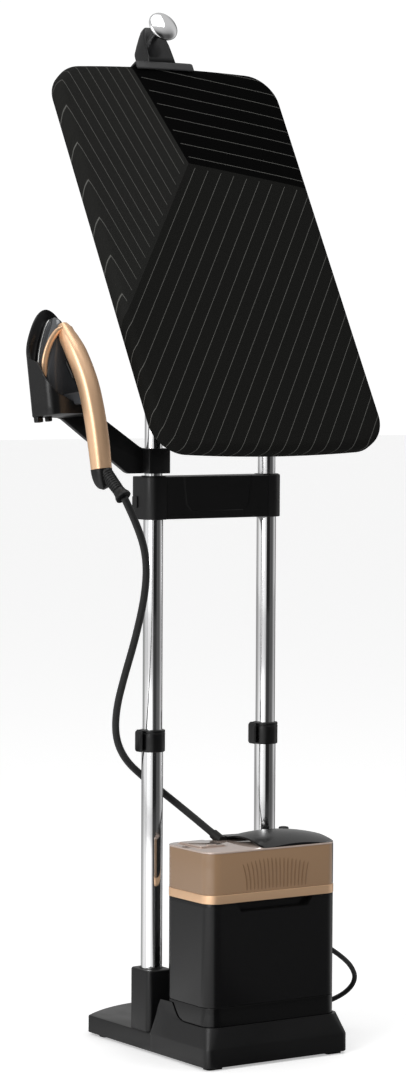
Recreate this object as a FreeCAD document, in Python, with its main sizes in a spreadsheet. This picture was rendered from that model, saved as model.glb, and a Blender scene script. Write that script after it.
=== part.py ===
import FreeCAD, Part
import math
import os
import re
import Sketcher
from FreeCAD import Placement, Rotation, Vector

# A garment steamer station: a steam generator on a low base, two telescopic posts, a padded board
# that tilts on a head between them, and a steam head parked in a holder on the left post.
# The origin is on the floor, midway between the posts. +X is the user's right, -Y is the front, +Z is up.

SIZES = {
    # posts
    "post_x": 107.5, "lower_rad": 17, "mid_rad": 15.5, "upper_rad": 14, "tube_wall": 1.2,
    "lower_low": 36, "lower_top": 500, "mid_low": 350, "mid_top": 896, "upper_low": 640, "upper_top": 1150,
    # running clearance on a moving shaft, and clearance between pieces that only pass each other
    "running": 0.06, "free": 0.35,
    # base
    "base_half": 133, "base_front": 197, "base_rear": 197, "base_rear_side": 145, "base_low": 4,
    "base_wall": 32, "base_thick": 3, "base_corner": 12, "skirt_top": 63, "boss_top": 128,
    "boss_half": 23.5, "boss_deep": 28, "cheek_top": 89.5,
    # steam generator
    "gen_half": 122, "gen_front": 183.5, "gen_rear": 55, "gen_corner": 24, "gen_low": 35.5,
    "gen_seam": 93, "gen_top": 252.3, "gen_thick": 3, "band_low": 252.7, "band_top": 266.2,
    "tank_low": 266.3, "tank_rim": 330, "tank_wall": 2.5, "lid_top": 332.6, "column_left": 96,
    "column_deep": 25, "column_top": 331, "tank_right": 112, "bridge_left": 18, "bridge_ridge": 350,
    "bridge_mid": 52, "bridge_roll": 195, "bridge_pitch": 153,
    # clamp collars
    "collar_low": 469.5, "collar_top": 504, "collar_rad": 20, "lever_pin": 1,
    # crossbar
    "bar_low": 833, "bar_top": 900, "bar_rad": 21.5, "bar_rear": 28, "panel_half": 96,
    # tilting head and board, drawn with the board upright and then tilted about the pin
    "pin_height": 1164.7, "pin_rad": 5, "board_tilt": 28.95, "board_back": 35, "board_half": 211.5,
    "board_below": 285, "board_above": 406.3, "board_corner": 52, "board_thick": 29.5,
    "end_curve": 2490, "cover_wall": 2,
    # holder arm and clamp
    "clamp_low": 905, "clamp_top": 944, "clamp_half": 20,
    # holder and steam head, drawn upright about the middle of the holder's floor, then leaned and turned
    "holder_x": -288.5, "holder_y": -35, "holder_z": 996, "holder_turn": 15, "holder_lean": 8,
    "pocket_half": 55, "pocket_back": 23, "pocket_front": 31, "pocket_wall": 4, "pocket_peak": 166,
    "sole_back": 17.1, "sole_thick": 4, "body_deep": 8, "grip_deep": 14.3, "grip_wide": 17,
    "boot_long": 48,
    # hose and mains cord
    "hose_rad": 5.75, "cord_rad": 4,
}

doc = FreeCAD.newDocument("garment_steamer_station")
sheet = doc.addObject("Spreadsheet::Sheet", "dims")
for row, (word, number) in enumerate(SIZES.items(), start=1):
    sheet.set("A%d" % row, word)
    sheet.set("B%d" % row, str(number))
    sheet.setAlias("B%d" % row, word)
doc.recompute()

nodes = []


def cells(text):
    """An expression in plain words, with each word pointed at its cell of the sheet."""
    return re.sub(r"[a-z_]+", lambda found: "dims." + found.group() if found.group() in SIZES
                  else found.group(), str(text))


def value(text):
    """The number that an expression has now."""
    return float(sheet.evalExpression(cells(text)))


def bind(obj, **properties):
    """Bind properties, with __ for a dot in the name, to expressions."""
    for name, text in properties.items():
        obj.setExpression(name.replace("__", "."), cells(text))
    return obj


def add(kind, label):
    obj = doc.addObject(kind, label)
    obj.Label = label
    return obj


def box(label, x, y, z):
    """A block between two expressions along each axis."""
    return bind(add("Part::Box", label),
                Length="(%s)-(%s)" % (x[1], x[0]), Width="(%s)-(%s)" % (y[1], y[0]),
                Height="(%s)-(%s)" % (z[1], z[0]),
                Placement__Base__x=x[0], Placement__Base__y=y[0], Placement__Base__z=z[0])


TURNS = {"z": Rotation(), "x": Rotation(Vector(0, 1, 0), 90), "y": Rotation(Vector(1, 0, 0), -90)}


def rod(label, radius, start, length, axis="z"):
    """A cylinder from a start point along +X, +Y or +Z."""
    obj = add("Part::Cylinder", label)
    obj.Placement = Placement(Vector(), TURNS[axis])
    return bind(obj, Radius=radius, Height=length, Placement__Base__x=start[0],
                Placement__Base__y=start[1], Placement__Base__z=start[2])


def join(label, *parts):
    obj = add("Part::MultiFuse", label)
    obj.Shapes = list(parts)
    obj.Refine = True
    return obj


def group(label, *parts):
    obj = add("Part::Compound", label)
    obj.Links = list(parts)
    return obj


def cut(label, base, *tools):
    """The base with every tool removed."""
    obj = add("Part::Cut", label)
    obj.Base = base
    obj.Tool = tools[0] if len(tools) == 1 else group(label + "_tools", *tools)
    obj.Refine = True
    return obj


def common(label, *parts):
    obj = add("Part::MultiCommon", label)
    obj.Shapes = list(parts)
    return obj


def outline(label, plane, points, start, length, radius=None, rounded=None):
    """A PartDesign body: straight sides through points, padded from start along the plane's normal.

    With a radius, the padded edges at the corners numbered in rounded, or at all of them, are rounded.
    """
    body = add("PartDesign::Body", label)
    sketch = body.newObject("Sketcher::SketchObject", label + "_outline")
    support = next(f for f in body.Origin.OriginFeatures if f.Role == plane + "_Plane")
    sketch.AttachmentSupport = [(support, "")]
    sketch.MapMode = "FlatFace"
    sketch.setExpression("AttachmentOffset.Base.z", cells(start))
    corners = [Vector(value(a), value(b), 0) for a, b in points]
    count = len(corners)
    for i, corner in enumerate(corners):
        sketch.addGeometry(Part.LineSegment(corner, corners[(i + 1) % count]))
    for i, (a, b) in enumerate(points):
        sketch.addConstraint(Sketcher.Constraint("Coincident", i, 2, (i + 1) % count, 1))
        for kind, text in (("DistanceX", a), ("DistanceY", b)):
            index = sketch.addConstraint(Sketcher.Constraint(kind, -1, 1, i, 1, value(text)))
            sketch.setExpression("Constraints[%d]" % index, cells(text))
    pad = body.newObject("PartDesign::Pad", label + "_pad")
    pad.Profile = sketch
    bind(pad, Length=length)
    if radius:
        doc.recompute()
        spots = [corners[i] for i in (rounded or range(count))]
        names = []
        for i, edge in enumerate(pad.Shape.Edges, start=1):
            ends = [sketch.Placement.inverse().multVec(v.Point) for v in edge.Vertexes]
            if len(ends) == 2 and (ends[0] - ends[1]).cross(Vector(0, 0, 1)).Length < 1e-6:
                if any(math.hypot(ends[0].x - s.x, ends[0].y - s.y) < 1e-4 for s in spots):
                    names.append("Edge%d" % i)
        fillet = body.newObject("PartDesign::Fillet", label + "_round")
        fillet.Base = (pad, names)
        bind(fillet, Radius=radius)
        body.Tip = fillet
    return body


def prism(label, x, y, z, radius=None, rounded=None):
    """An upright rounded block as a PartDesign body."""
    corners = [(x[0], y[0]), (x[1], y[0]), (x[1], y[1]), (x[0], y[1])]
    return outline(label, "XY", corners, z[0], "(%s)-(%s)" % (z[1], z[0]), radius, rounded)


def keep(*objects):
    """Mark finished sub-parts, each under the label that names its file."""
    nodes.extend(objects)
    return objects[0]


# --- base ---------------------------------------------------------------------------------------

def footprint(label, inset, z0, z1):
    """The base's outline as a slab: square at the front, bowed out at the rear."""
    side = "base_half-(%s)" % inset
    front = prism(label + "_front", ("-(%s)" % side, side), ("-base_front+(%s)" % inset, "5"), (z0, z1),
                  "base_corner-(%s)" % inset, (0, 1))
    bow = "base_rear-base_rear_side"
    bow_rad = "((base_half*base_half+(%s)*(%s))/(2*(%s)))" % (bow, bow, bow)
    disc = rod(label + "_disc", "%s-(%s)" % (bow_rad, inset), ("0", "base_rear-%s" % bow_rad, z0),
               "(%s)-(%s)" % (z1, z0))
    rear = box(label + "_rear", ("-(%s)" % side, side), ("0", "base_rear"), (z0, z1))
    return join(label, front, common(label + "_bow", disc, rear))


def generator_block(label, inset, z0, z1):
    """The generator's outline as a slab: a block with four rounded upright edges."""
    side = "gen_half-(%s)" % inset
    return prism(label, ("-(%s)" % side, side), ("-gen_front+(%s)" % inset, "-gen_rear-(%s)" % inset),
                 (z0, z1), "gen_corner-(%s)" % inset)


SIDES = (("left", -1), ("right", 1))

skirt = add("Part::Wedge", "base_skirt")
skirt.Placement = Placement(Vector(), Rotation(Vector(1, 0, 0), 90))
bind(skirt, Xmin="-base_half", Xmax="base_half", X2min="-gen_half-3", X2max="gen_half+3",
     Ymin="base_wall", Ymax="skirt_top", Zmin="34", Zmax="base_front", Z2min="34", Z2max="gen_front+3")
solids = [footprint("base_slab", "0", "base_low", "base_wall"), skirt]
pockets = [footprint("base_hollow", "base_thick", "0", "base_wall-base_thick"),
           generator_block("base_cradle", "-0.5", "base_wall", "200")]
for side, sign in SIDES:
    x = "%d*post_x" % sign
    solids.append(prism("socket_" + side, ("%s-boss_half" % x, "%s+boss_half" % x),
                        ("-boss_deep", "boss_deep"), ("base_wall-4", "boss_top"), "9"))
    solids.append(outline("cheek_" + side, "YZ",
                          [("-100", "base_wall-1"), ("-24", "base_wall-1"), ("-24", "50"), ("-40", "70"),
                           ("-50", "cheek_top"), ("-57", "cheek_top"), ("-65", "80"), ("-79", "67"),
                           ("-100", "skirt_top")],
                          "%d*126-3.5" % sign, "7"))
    pockets.append(rod("socket_bore_" + side, "lower_rad+0.05", (x, "0", "lower_low"), "boss_top"))
    pockets.append(box("button_slot_" + side, ("%s-10.8" % x, "%s+10.8" % x), ("22", "boss_deep+1"),
                       ("99.7", "124.3")))
SCREW_SPOTS = [(-105, -165), (105, -165), (-105, -20), (105, -20), (-85, 120), (85, 120)]
pillars = []
for i, (x, y) in enumerate(SCREW_SPOTS):
    pillars.append(rod("base_pillar_%d" % i, "4.5", (x, y, "base_low+2.6"), "base_wall-base_low-4"))
    pockets.append(rod("base_thread_%d" % i, "1.7", (x, y, "0"), "16"))
base_shell = keep(cut("base_shell", join("base_solid", cut("base_open", join("base_mass", *solids),
                                                            pockets[0]), *pillars), *pockets[1:]))
keep(cut("base_cover", footprint("cover_plate", "base_thick+0.3", "base_low", "base_low+2.5"),
         *[rod("cover_hole_%d" % i, "1.8", (x, y, "0"), "12") for i, (x, y) in enumerate(SCREW_SPOTS)]))
keep(cut("ballast_plate", prism("ballast_blank", ("-95", "95"), ("-150", "100"), ("6.6", "16.6"), "8"),
         *[rod("ballast_hole_%d" % i, "5.5", (x, y, "0"), "30") for i, (x, y) in enumerate(SCREW_SPOTS)]))
screws = []
for i, (x, y) in enumerate(SCREW_SPOTS):
    screws.append(join("base_screw_%d" % i, rod("screw_head_%d" % i, "3.5", (x, y, "2.2"), "1.8"),
                       rod("screw_shank_%d" % i, "1.7", (x, y, "4"), "12")))
keep(group("base_screws", *screws))
FEET = [(-112, -180), (112, -180), (-112, 118), (112, 118), (0, 0)]
keep(group("base_feet", *[prism("base_foot_%d" % i, (x - 14, x + 14), (y - 9, y + 9), ("0", "base_low"), "5")
                          for i, (x, y) in enumerate(FEET)]))

# --- posts, collars and their levers ------------------------------------------------------------

def tube(label, radius, x, z0, z1):
    outer = rod(label + "_outer", radius, (x, "0", z0), "(%s)-(%s)" % (z1, z0))
    inner = rod(label + "_bore", "%s-tube_wall" % radius, (x, "0", "%s-1" % z0), "(%s)-(%s)+2" % (z1, z0))
    return keep(cut(label, outer, inner))


for side, sign in SIDES:
    x = "%d*post_x" % sign
    tube("lower_tube_" + side, "lower_rad", x, "lower_low", "lower_top")
    tube("mid_tube_" + side, "mid_rad", x, "mid_low", "mid_top")
    tube("upper_tube_" + side, "upper_rad", x, "upper_low", "upper_top")
    # collar: a ring over the lower tube, lipped over its end, with a lug above and below the lever
    ring = rod("collar_ring_" + side, "collar_rad", (x, "0", "collar_low"), "collar_top-collar_low")
    lugs = []
    for spot, low in (("low", "collar_low"), ("high", "collar_top-7")):
        lugs.append(rod("collar_lug_%s_%s" % (spot, side), "1.8", ("%s-21.3" % x, "9", low), "7"))
        lugs.append(box("collar_web_%s_%s" % (spot, side), ("%s-21.3" % x, "%s-15" % x), ("7.2", "10.8"),
                        (low, "%s+7" % low)))
    lugs.append(rod("collar_pin_" + side, "lever_pin", ("%s-21.3" % x, "9", "collar_low"),
                    "collar_top-collar_low"))
    keep(cut("tube_collar_" + side, join("collar_mass_" + side, ring, *lugs),
             rod("collar_bore_" + side, "lower_rad+0.02", (x, "0", "collar_low-1"), "lower_top-collar_low+1"),
             rod("collar_lip_" + side, "mid_rad+running", (x, "0", "collar_low-1"), "60")))
    barrel = rod("lever_barrel_" + side, "2.7", ("%s-21.3" % x, "9", "collar_low+7.4"), "19.7")
    plate = prism("lever_plate_" + side, ("%s-26.2" % x, "%s-23.6" % x), ("-10", "10"),
                  ("collar_low+0.5", "collar_top-0.5"))
    keep(cut("collar_lever_" + side, join("lever_mass_" + side, barrel, plate),
             rod("lever_bore_" + side, "lever_pin+running", ("%s-21.3" % x, "9", "collar_low"), "40")))
    # push button in the back of the base socket that frees the post
    keep(prism("socket_button_" + side, ("%s-10.4" % x, "%s+10.4" % x), ("25.2", "boss_deep+4"),
               ("100.1", "123.9"), "2"))

# --- steam generator ----------------------------------------------------------------------------

column_zone = (("-column_left", "tank_right"), ("-gen_rear-column_deep", "-gen_rear+1"))
tray_inside = generator_block("tray_hollow", "gen_thick", "gen_low+gen_thick", "gen_seam+1")
keep(cut("boiler_tray", generator_block("tray_block", "0", "gen_low", "gen_seam"), tray_inside))
column = common("column_block", generator_block("column_outline", "0", "gen_top-3", "column_top"),
                box("column_zone", *column_zone, ("gen_top-3", "column_top")))
housing_inside = generator_block("housing_hollow", "gen_thick", "gen_seam-1", "gen_top-gen_thick")
column_inside = box("column_hollow", ("-column_left+3", "tank_right-3"),
                    ("-gen_rear-column_deep+3", "-gen_rear-3"), ("gen_top-20", "column_top-3"))
finger_recess = outline("finger_recess", "XZ", [("-72", "gen_top+1"), ("-67", "240"), ("-62", "238"),
                                                ("62", "238"), ("67", "240"), ("72", "gen_top+1")],
                        "gen_front-13", "20")
recess_wall = outline("recess_wall", "XZ", [("-75", "gen_top-1"), ("-70", "237"), ("-64", "235"),
                                            ("64", "235"), ("70", "237"), ("75", "gen_top-1")],
                      "gen_front-16", "14")
boiler_housing = cut("housing_bare", join("housing_mass", generator_block("housing_block", "0", "gen_seam",
                                                                          "gen_top"), column),
                     housing_inside, column_inside)
keep(cut("boiler_housing", join("housing_full", boiler_housing, recess_wall), finger_recess,
         rod("coupling_hole", "6", ("-60", "-120", "gen_top-4"), "8")))
column_gap = box("column_gap", ("-column_left-free", "gen_half+5"),
                 ("-gen_rear-column_deep-free", "-gen_rear+5"), ("200", "400"))
keep(cut("gold_band", generator_block("band_block", "-0.6", "band_low", "band_top"),
         generator_block("band_hollow", "5", "200", "300"), column_gap))
bridge_gap = box("bridge_gap", ("tank_right", "gen_half+5"), ("-gen_front-5", "0"), ("200", "400"))
tank_inside = cut("tank_hollow", generator_block("tank_core", "tank_wall", "tank_low+tank_wall", "tank_rim+1"),
                  box("tank_back", ("-column_left-free-tank_wall", "gen_half"),
                      ("-gen_rear-column_deep-free-tank_wall", "0"), ("200", "400")),
                  box("tank_side", ("tank_right-tank_wall", "gen_half"), ("-gen_front", "0"), ("200", "400")))
keep(cut("water_tank", generator_block("tank_block", "0", "tank_low", "tank_rim"), column_gap, bridge_gap,
         tank_inside, rod("tank_outlet", "5", ("-60", "-120", "tank_low-1"), "8")))
FLAP = (("-104", "-58"), ("-132", "-70"))
keep(cut("tank_top", generator_block("lid_block", "0.4", "tank_rim+0.1", "lid_top"), column_gap, bridge_gap,
         box("flap_hole", ("-99", "-63"), ("-127", "-75"), ("300", "350")),
         box("flap_rebate", ("-104.4", "-57.6"), ("-132.4", "-69.6"), ("lid_top-1.2", "350"))))
keep(prism("fill_flap", *FLAP, ("lid_top-0.9", "lid_top+1.4"), "4"))
keep(join("tank_coupling", rod("coupling_cup", "9.5", ("-60", "-120", "gen_top-18"), "18-gen_thick"),
          rod("coupling_pipe", "4", ("-60", "-120", "gen_top-30"), "20")))

# bridge: a domed black cover, curved both ways, that hangs over the right side of the tank
def dome(label, inset):
    roll = rod(label + "_roll", "bridge_roll-(%s)" % inset,
               ("bridge_mid", "-gen_front-5", "bridge_ridge-bridge_roll"), "gen_front", "y")
    pitch = rod(label + "_pitch", "bridge_pitch-(%s)" % inset,
                ("-150", "(-gen_front-gen_rear)/2", "bridge_ridge-bridge_pitch"), "300", "x")
    return common(label, roll, pitch)


bridge_mass = common("bridge_mass", generator_block("bridge_block", "0", "tank_low+0.3", "bridge_ridge+2"),
                     box("bridge_zone", ("-bridge_left", "gen_half+1"), ("-gen_front-1", "0"), ("200", "400")),
                     dome("dome_outer", "0"))
bridge_inside = common("bridge_inside", dome("dome_inner", "3"),
                       box("bridge_span", ("-bridge_left-1", "tank_right+free"), ("-gen_front-1", "0"),
                           ("column_top-0.2", "400")))
below_bridge = box("below_bridge", ("-bridge_left-1", "tank_right+free"), ("-gen_front-1", "0"),
                   ("200", "lid_top+free"))
keep(cut("rear_bridge", bridge_mass, bridge_inside, below_bridge,
         rod("power_hole", "8.35", ("85", "-85", "334"), "20")))
keep(rod("power_button", "8", ("85", "-85", "337"), "9.6"))

# pieces inside the generator
boiler = [rod("boiler_can", "42", ("48", "-119", "gen_low+9"), "92"),
          rod("boiler_flange", "46", ("48", "-119", "gen_low+50"), "4")]
for i in range(3):
    angle = math.radians(120 * i + 30)
    boiler.append(rod("boiler_leg_%d" % i, "4", (48 + 34 * math.cos(angle), -119 + 34 * math.sin(angle),
                                                 "gen_low+gen_thick"), "7"))
keep(join("boiler", *boiler))
keep(join("pump", rod("pump_can", "18", ("-95", "-120", "gen_low+23"), "62", "x"),
          box("pump_foot", ("-90", "-40"), ("-132", "-108"), ("gen_low+gen_thick", "gen_low+12")),
          rod("pump_port", "5", ("-60", "-120", "gen_low+35"), "20")))
keep(join("steam_valve", box("valve_block", ("30", "66"), ("-134", "-104"), ("gen_low+101", "gen_low+121")),
          rod("valve_coil", "12", ("48", "-119", "gen_low+121"), "28")))
keep(join("control_board", box("board_plate", ("-75", "60"), ("-66", "-64.4"), ("110", "205")),
          *[rod("standoff_%d_%d" % (x, z), "3", (x, "-64.6", z), "6.5", "y")
            for x in (-65, 50) for z in (118, 197)]))

# --- crossbar -----------------------------------------------------------------------------------

bar = [box("bar_front", ("-post_x", "post_x"), ("-bar_rad", "0"), ("bar_low", "bar_top")),
       prism("bar_back", ("-post_x-bar_rad", "post_x+bar_rad"), ("-1", "bar_rear"), ("bar_low", "bar_top"),
             "3", (2, 3))]
bar_pockets = [box("panel_seat", ("-panel_half-0.2", "panel_half+0.2"), ("-bar_rad-1", "-bar_rad+6"),
                   ("bar_low-1", "bar_top+1")),
               box("bar_hollow", ("-82", "82"), ("-17", "bar_rear-3"), ("bar_low+3", "bar_top-12")),
               outline("bar_slope", "YZ", [("bar_rear-12", "bar_top+0.1"), ("bar_rear+1", "bar_top-9"),
                                           ("bar_rear+1", "bar_top+0.1")], "-150", "300")]
for side, sign in SIDES:
    x = "%d*post_x" % sign
    bar.append(rod("bar_end_" + side, "bar_rad", (x, "0", "bar_low"), "bar_top-bar_low"))
    bar_pockets.append(rod("bar_bore_" + side, "mid_rad+0.02", (x, "0", "bar_low-1"), "mid_top-bar_low+1"))
    bar_pockets.append(rod("bar_lip_" + side, "upper_rad+running", (x, "0", "bar_low-1"), "80"))
    outer = "%d*(post_x+bar_rad)" % sign
    bar_pockets.append(box("latch_slot_" + side, ("%s-5" % outer, "%s+5" % outer), ("11", "24.7"),
                           ("850.6", "869.4")))
    keep(box("height_latch_" + side, ("%s-2.2%+d*0.3" % (outer, sign), "%s+2.2%+d*0.3" % (outer, sign)),
             ("11.35", "24.35"), ("851", "869")))
keep(cut("crossbar_rear", join("bar_mass", *bar), *bar_pockets))
keep(cut("crossbar_front", box("panel_plate", ("-panel_half", "panel_half"), ("-bar_rad", "-bar_rad+5.8"),
                               ("bar_low+0.2", "bar_top-0.2")),
         outline("grip_recess", "XZ", [("-65", "bar_top+1"), ("-60", "856"), ("-50", "846"), ("50", "846"),
                                       ("60", "856"), ("65", "bar_top+1")], "bar_rad-3", "10")))

# --- tilting head -------------------------------------------------------------------------------

head = [box("head_bar", ("-post_x", "post_x"), ("-13", "13"), ("1122", "1146"))]
head_bores = []
for side, sign in SIDES:
    x = "%d*post_x" % sign
    head.append(rod("head_cup_" + side, "18", (x, "0", "1116"), "37"))
    head_bores.append(rod("head_bore_" + side, "upper_rad+0.02", (x, "0", "1100"), "upper_top-1100"))
    head.append(box("head_lug_" + side, ("%d*60-4" % sign, "%d*60+4" % sign), ("-12", "12"),
                    ("1140", "pin_height")))
    head.append(rod("head_eye_" + side, "12", ("%d*60-4" % sign, "0", "pin_height"), "8", "x"))
keep(cut("tilt_head", join("head_mass", *head), *head_bores,
         rod("head_pin_bore", "pin_rad+0.02", ("-100", "0", "pin_height"), "200", "x")))
keep(join("tilt_pin", rod("pin_shaft", "pin_rad", ("-84", "0", "pin_height"), "150", "x"),
          rod("pin_end", "8", ("64.2", "0", "pin_height"), "3", "x"),
          rod("pin_start", "8", ("-87", "0", "pin_height"), "3", "x")))
lever_arm = outline("tilt_lever_arm", "YZ", [("-2", "pin_height-6"), ("70", "pin_height-5"),
                                             ("84", "pin_height-9"), ("88", "pin_height-4"),
                                             ("72", "pin_height+5"), ("-2", "pin_height+6")], "-79", "9")
keep(cut("tilt_lever", join("tilt_lever_mass", lever_arm,
                            rod("tilt_lever_eye", "11", ("-83.5", "0", "pin_height"), "17.5", "x")),
         rod("tilt_lever_bore", "pin_rad+running", ("-100", "0", "pin_height"), "60", "x")))


def tilt(obj):
    """Turn an upright piece of the board about the pin to the angle at which it rests."""
    obj.Placement = Placement(Vector(), Rotation(Vector(1, 0, 0), -1))
    return bind(obj, Placement__Rotation__Angle="-board_tilt*1deg",
                Placement__Base__y="-pin_height*sin(board_tilt*1deg)",
                Placement__Base__z="pin_height*(1-cos(board_tilt*1deg))")


def board_slab(label, inset, front, back):
    """A rounded slab with bowed ends, between two distances in front of the pin."""
    half = "board_half-(%s)" % inset
    low = "pin_height-board_below+(%s)" % inset
    high = "pin_height+board_above-(%s)" % inset
    blank = outline(label + "_blank", "XZ", [("-(%s)" % half, low), (half, low), (half, high),
                                             ("-(%s)" % half, high)],
                    back, "(%s)-(%s)" % (front, back), "board_corner-(%s)" % inset)
    bow_low = rod(label + "_bow_low", "end_curve", ("0", "-200", "%s+end_curve" % low), "200", "y")
    bow_high = rod(label + "_bow_high", "end_curve", ("0", "-200", "%s-end_curve" % high), "200", "y")
    return common(label, blank, bow_low, bow_high)


board_front = "board_back+board_thick"
keep(tilt(board_slab("board_panel", "cover_wall+0.2", "board_back+10", "board_back")))
keep(tilt(board_slab("foam_pad", "cover_wall+0.2", board_front + "-cover_wall-0.2", "board_back+10.1")))
keep(tilt(cut("board_cover", board_slab("cover_skin", "0", board_front, "board_back-0.5"),
              board_slab("cover_inside", "cover_wall", board_front + "-cover_wall", "board_back-5"))))
ears = [box("bracket_plate", ("-75", "75"), ("-board_back+0.1", "-board_back+3.5"),
            ("pin_height-45", "pin_height+45"))]
for side, sign in SIDES:
    ears.append(box("bracket_web_" + side, ("%d*50-3" % sign, "%d*50+3" % sign), ("-board_back+1", "0"),
                    ("pin_height-12", "pin_height+12")))
    ears.append(rod("bracket_eye_" + side, "12", ("%d*50-3" % sign, "0", "pin_height"), "6", "x"))
keep(tilt(cut("tilt_bracket", join("bracket_mass", *ears),
              rod("bracket_bore", "pin_rad+running", ("-100", "0", "pin_height"), "200", "x"))))
# hanger hook on the board's top edge: a clip over the edge, a wedge block and a chrome knob
top = "pin_height+board_above"
clip_front = "-(%s)" % board_front
keep(tilt(join("hook_clip",
               box("clip_lip", ("-54", "54"), (clip_front + "-3.2", clip_front + "-0.2"), (top + "-10", top + "+3")),
               box("clip_roof", ("-54", "54"), (clip_front + "-3.2", "-board_back+4"), (top + "+0.2", top + "+3")),
               box("clip_heel", ("-54", "54"), ("-board_back+0.7", "-board_back+4"), (top + "-30", top + "+3")))))
block = outline("hook_wedge", "XZ", [("-26", top + "+3"), ("26", top + "+3"), ("17", top + "+48"),
                                     ("10", top + "+60"), ("-10", top + "+60"), ("-17", top + "+48")],
                "board_back-3", "37")
block_back = outline("hook_slope", "YZ", [("-board_back-8", top + "+61"), ("-board_back+4", top + "+36"),
                                          ("-board_back+4", top + "+61")], "-40", "80")
keep(tilt(cut("hook_block", block, block_back)))
knob_axis = ("0", "-board_back-62", top + "+50.6")
knob_ball = add("Part::Sphere", "knob_ball")
bind(knob_ball, Radius="36", Placement__Base__y="-board_back-34", Placement__Base__z=top + "+50.6")
knob_cap = common("knob_cap", rod("knob_disc", "24", ("0", "-board_back-71", top + "+50.6"), "10", "y"),
                  knob_ball)
keep(tilt(join("hang_knob", knob_cap, rod("knob_stem", "6", knob_axis, "28", "y"))))

# --- holder arm, holder and steam head ----------------------------------------------------------

def park(obj):
    """Lean an upright piece back, turn it outwards and set it on the holder's place beside the post."""
    turn = Rotation(Vector(0, 0, 1), SIZES["holder_turn"]) * Rotation(Vector(1, 0, 0), -SIZES["holder_lean"])
    obj.Placement = Placement(Vector(), turn)
    return bind(obj, Placement__Base__x="holder_x", Placement__Base__y="holder_y",
                Placement__Base__z="holder_z")


def pocket_outline(label, inset, low, high):
    return prism(label, ("-pocket_half+%s" % inset, "pocket_half-%s" % inset),
                 ("-pocket_front+%s" % inset, "pocket_back-%s" % inset), (low, high), "16-%s" % inset)


peak = outline("pocket_peak_shape", "XZ", [("-56", "-10"), ("56", "-10"), ("56", "96"), ("47", "116"),
                                           ("17", "157"), ("0", "pocket_peak"), ("-17", "157"),
                                           ("-47", "116"), ("-56", "96")], "-60", "120")
pocket_mass = join("pocket_mass", pocket_outline("pocket_block", "0", "0", "pocket_peak+2"),
                   box("pocket_toe", ("-47", "-37"), ("10", "18"), ("-7", "1")),
                   box("pocket_heel", ("-28", "-20"), ("10", "18"), ("-5", "1")))
holder_pocket = keep(park(cut("holder_pocket", common("pocket_whole", pocket_mass, peak),
                              pocket_outline("pocket_hollow", "pocket_wall", "3", "300"),
                              outline("pocket_mouth", "YZ", [("-60", "56"), ("17.5", "93"), ("17.5", "300"),
                                                             ("-60", "300")], "-100", "200"),
                              outline("pocket_scoop", "XZ", [("-36", "100"), ("-25", "20"), ("-17", "12"),
                                                             ("17", "12"), ("25", "20"), ("36", "100")],
                                      "20", "30"))))
arm_blank = outline("arm_blank", "XZ", [("-post_x+clamp_half", "clamp_low"), ("-152", "clamp_low"),
                                        ("-275", "holder_z-4"), ("-300", "holder_z-2"),
                                        ("-300", "holder_z+12"), ("-225", "holder_z+12"),
                                        ("-128", "clamp_top"), ("-post_x+clamp_half", "clamp_top")],
                    "0", "11")
clamp_front = box("clamp_front", ("-post_x-clamp_half", "-post_x+clamp_half"), ("-clamp_half", "0"),
                  ("clamp_low", "clamp_top"))
pocket_room = park(join("pocket_room", pocket_outline("pocket_room_block", "0", "-0.1", "200"),
                        box("toe_room", ("-48", "-19"), ("9", "19"), ("-8", "1"))))
clamp_bore = rod("clamp_bore", "upper_rad+running", ("-post_x", "0", "clamp_low-1"), "60")
screw_bore = rod("clamp_screw_bore", "2.5", ("-post_x+16.9", "-25", "924"), "50", "y")
keep(cut("holder_arm", join("arm_mass", arm_blank, clamp_front), pocket_room, clamp_bore, screw_bore))
keep(cut("clamp_cap", prism("cap_blank", ("-post_x-clamp_half", "-post_x+clamp_half"), ("0.1", "clamp_half"),
                            ("clamp_low", "clamp_top"), "6", (2, 3)), clamp_bore, screw_bore))
keep(join("clamp_screw", rod("clamp_screw_head", "4.2", ("-post_x+16.9", "clamp_half", "924"), "3", "y"),
          rod("clamp_screw_shank", "2.1", ("-post_x+16.9", "-17", "924"), "clamp_half+17", "y")))

# steam head: a pointed sole plate, the body on it, and a bowed grip that joins it at the nose and tail
SOLE = [(-33, 8), (33, 8), (40, 20), (40, 64), (33, 96), (20, 126), (8, 145), (0, 150),
        (-8, 145), (-20, 126), (-33, 96), (-40, 64), (-40, 20)]
keep(park(group("sole_plate", outline("sole_sheet", "XZ", SOLE, "-sole_back", "sole_thick"))))
grip_line = [(6, 139), (19, 116), (32, 95.5), (45, 63), (53.5, 31), (59, -13), (61, -53), (61.3, -91.4)]
grip_path = Part.BSplineCurve()
grip_path.interpolate([Vector(0, -forward, up) for forward, up in grip_line])
start = grip_path.value(grip_path.FirstParameter)
tangent = grip_path.tangent(grip_path.FirstParameter)[0]
rim = Part.Ellipse(Vector(), value("grip_wide"), value("grip_deep")).toShape()
rim.Placement = Placement(start, Rotation(Vector(1, 0, 0), tangent.cross(Vector(1, 0, 0)), tangent, "ZXY"))
pipe = Part.BRepOffsetAPI.MakePipeShell(Part.Wire(grip_path.toShape()))
pipe.add(Part.Wire(rim))
pipe.setBiNormalMode(Vector(1, 0, 0))
pipe.build()
pipe.makeSolid()
grip_solid = add("Part::Feature", "grip_solid")
grip_solid.Shape = pipe.shape()
tail = box("body_tail", ("-13", "13"), ("-50", "-6"), ("13", "33"))
body_mass = join("body_mass", outline("body_block", "XZ", [(0.95 * x, 1 + 0.98 * z) for x, z in SOLE],
                                      "-sole_back+sole_thick+0.05", "sole_back+body_deep-sole_thick"), tail)
keep(park(cut("head_body", body_mass, grip_solid)))
nose_room = outline("nose_room", "XZ", [(0.95 * x, 1 + 0.98 * z) for x, z in SOLE],
                    "-sole_back-1", "sole_back+body_deep+1.1")
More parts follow.
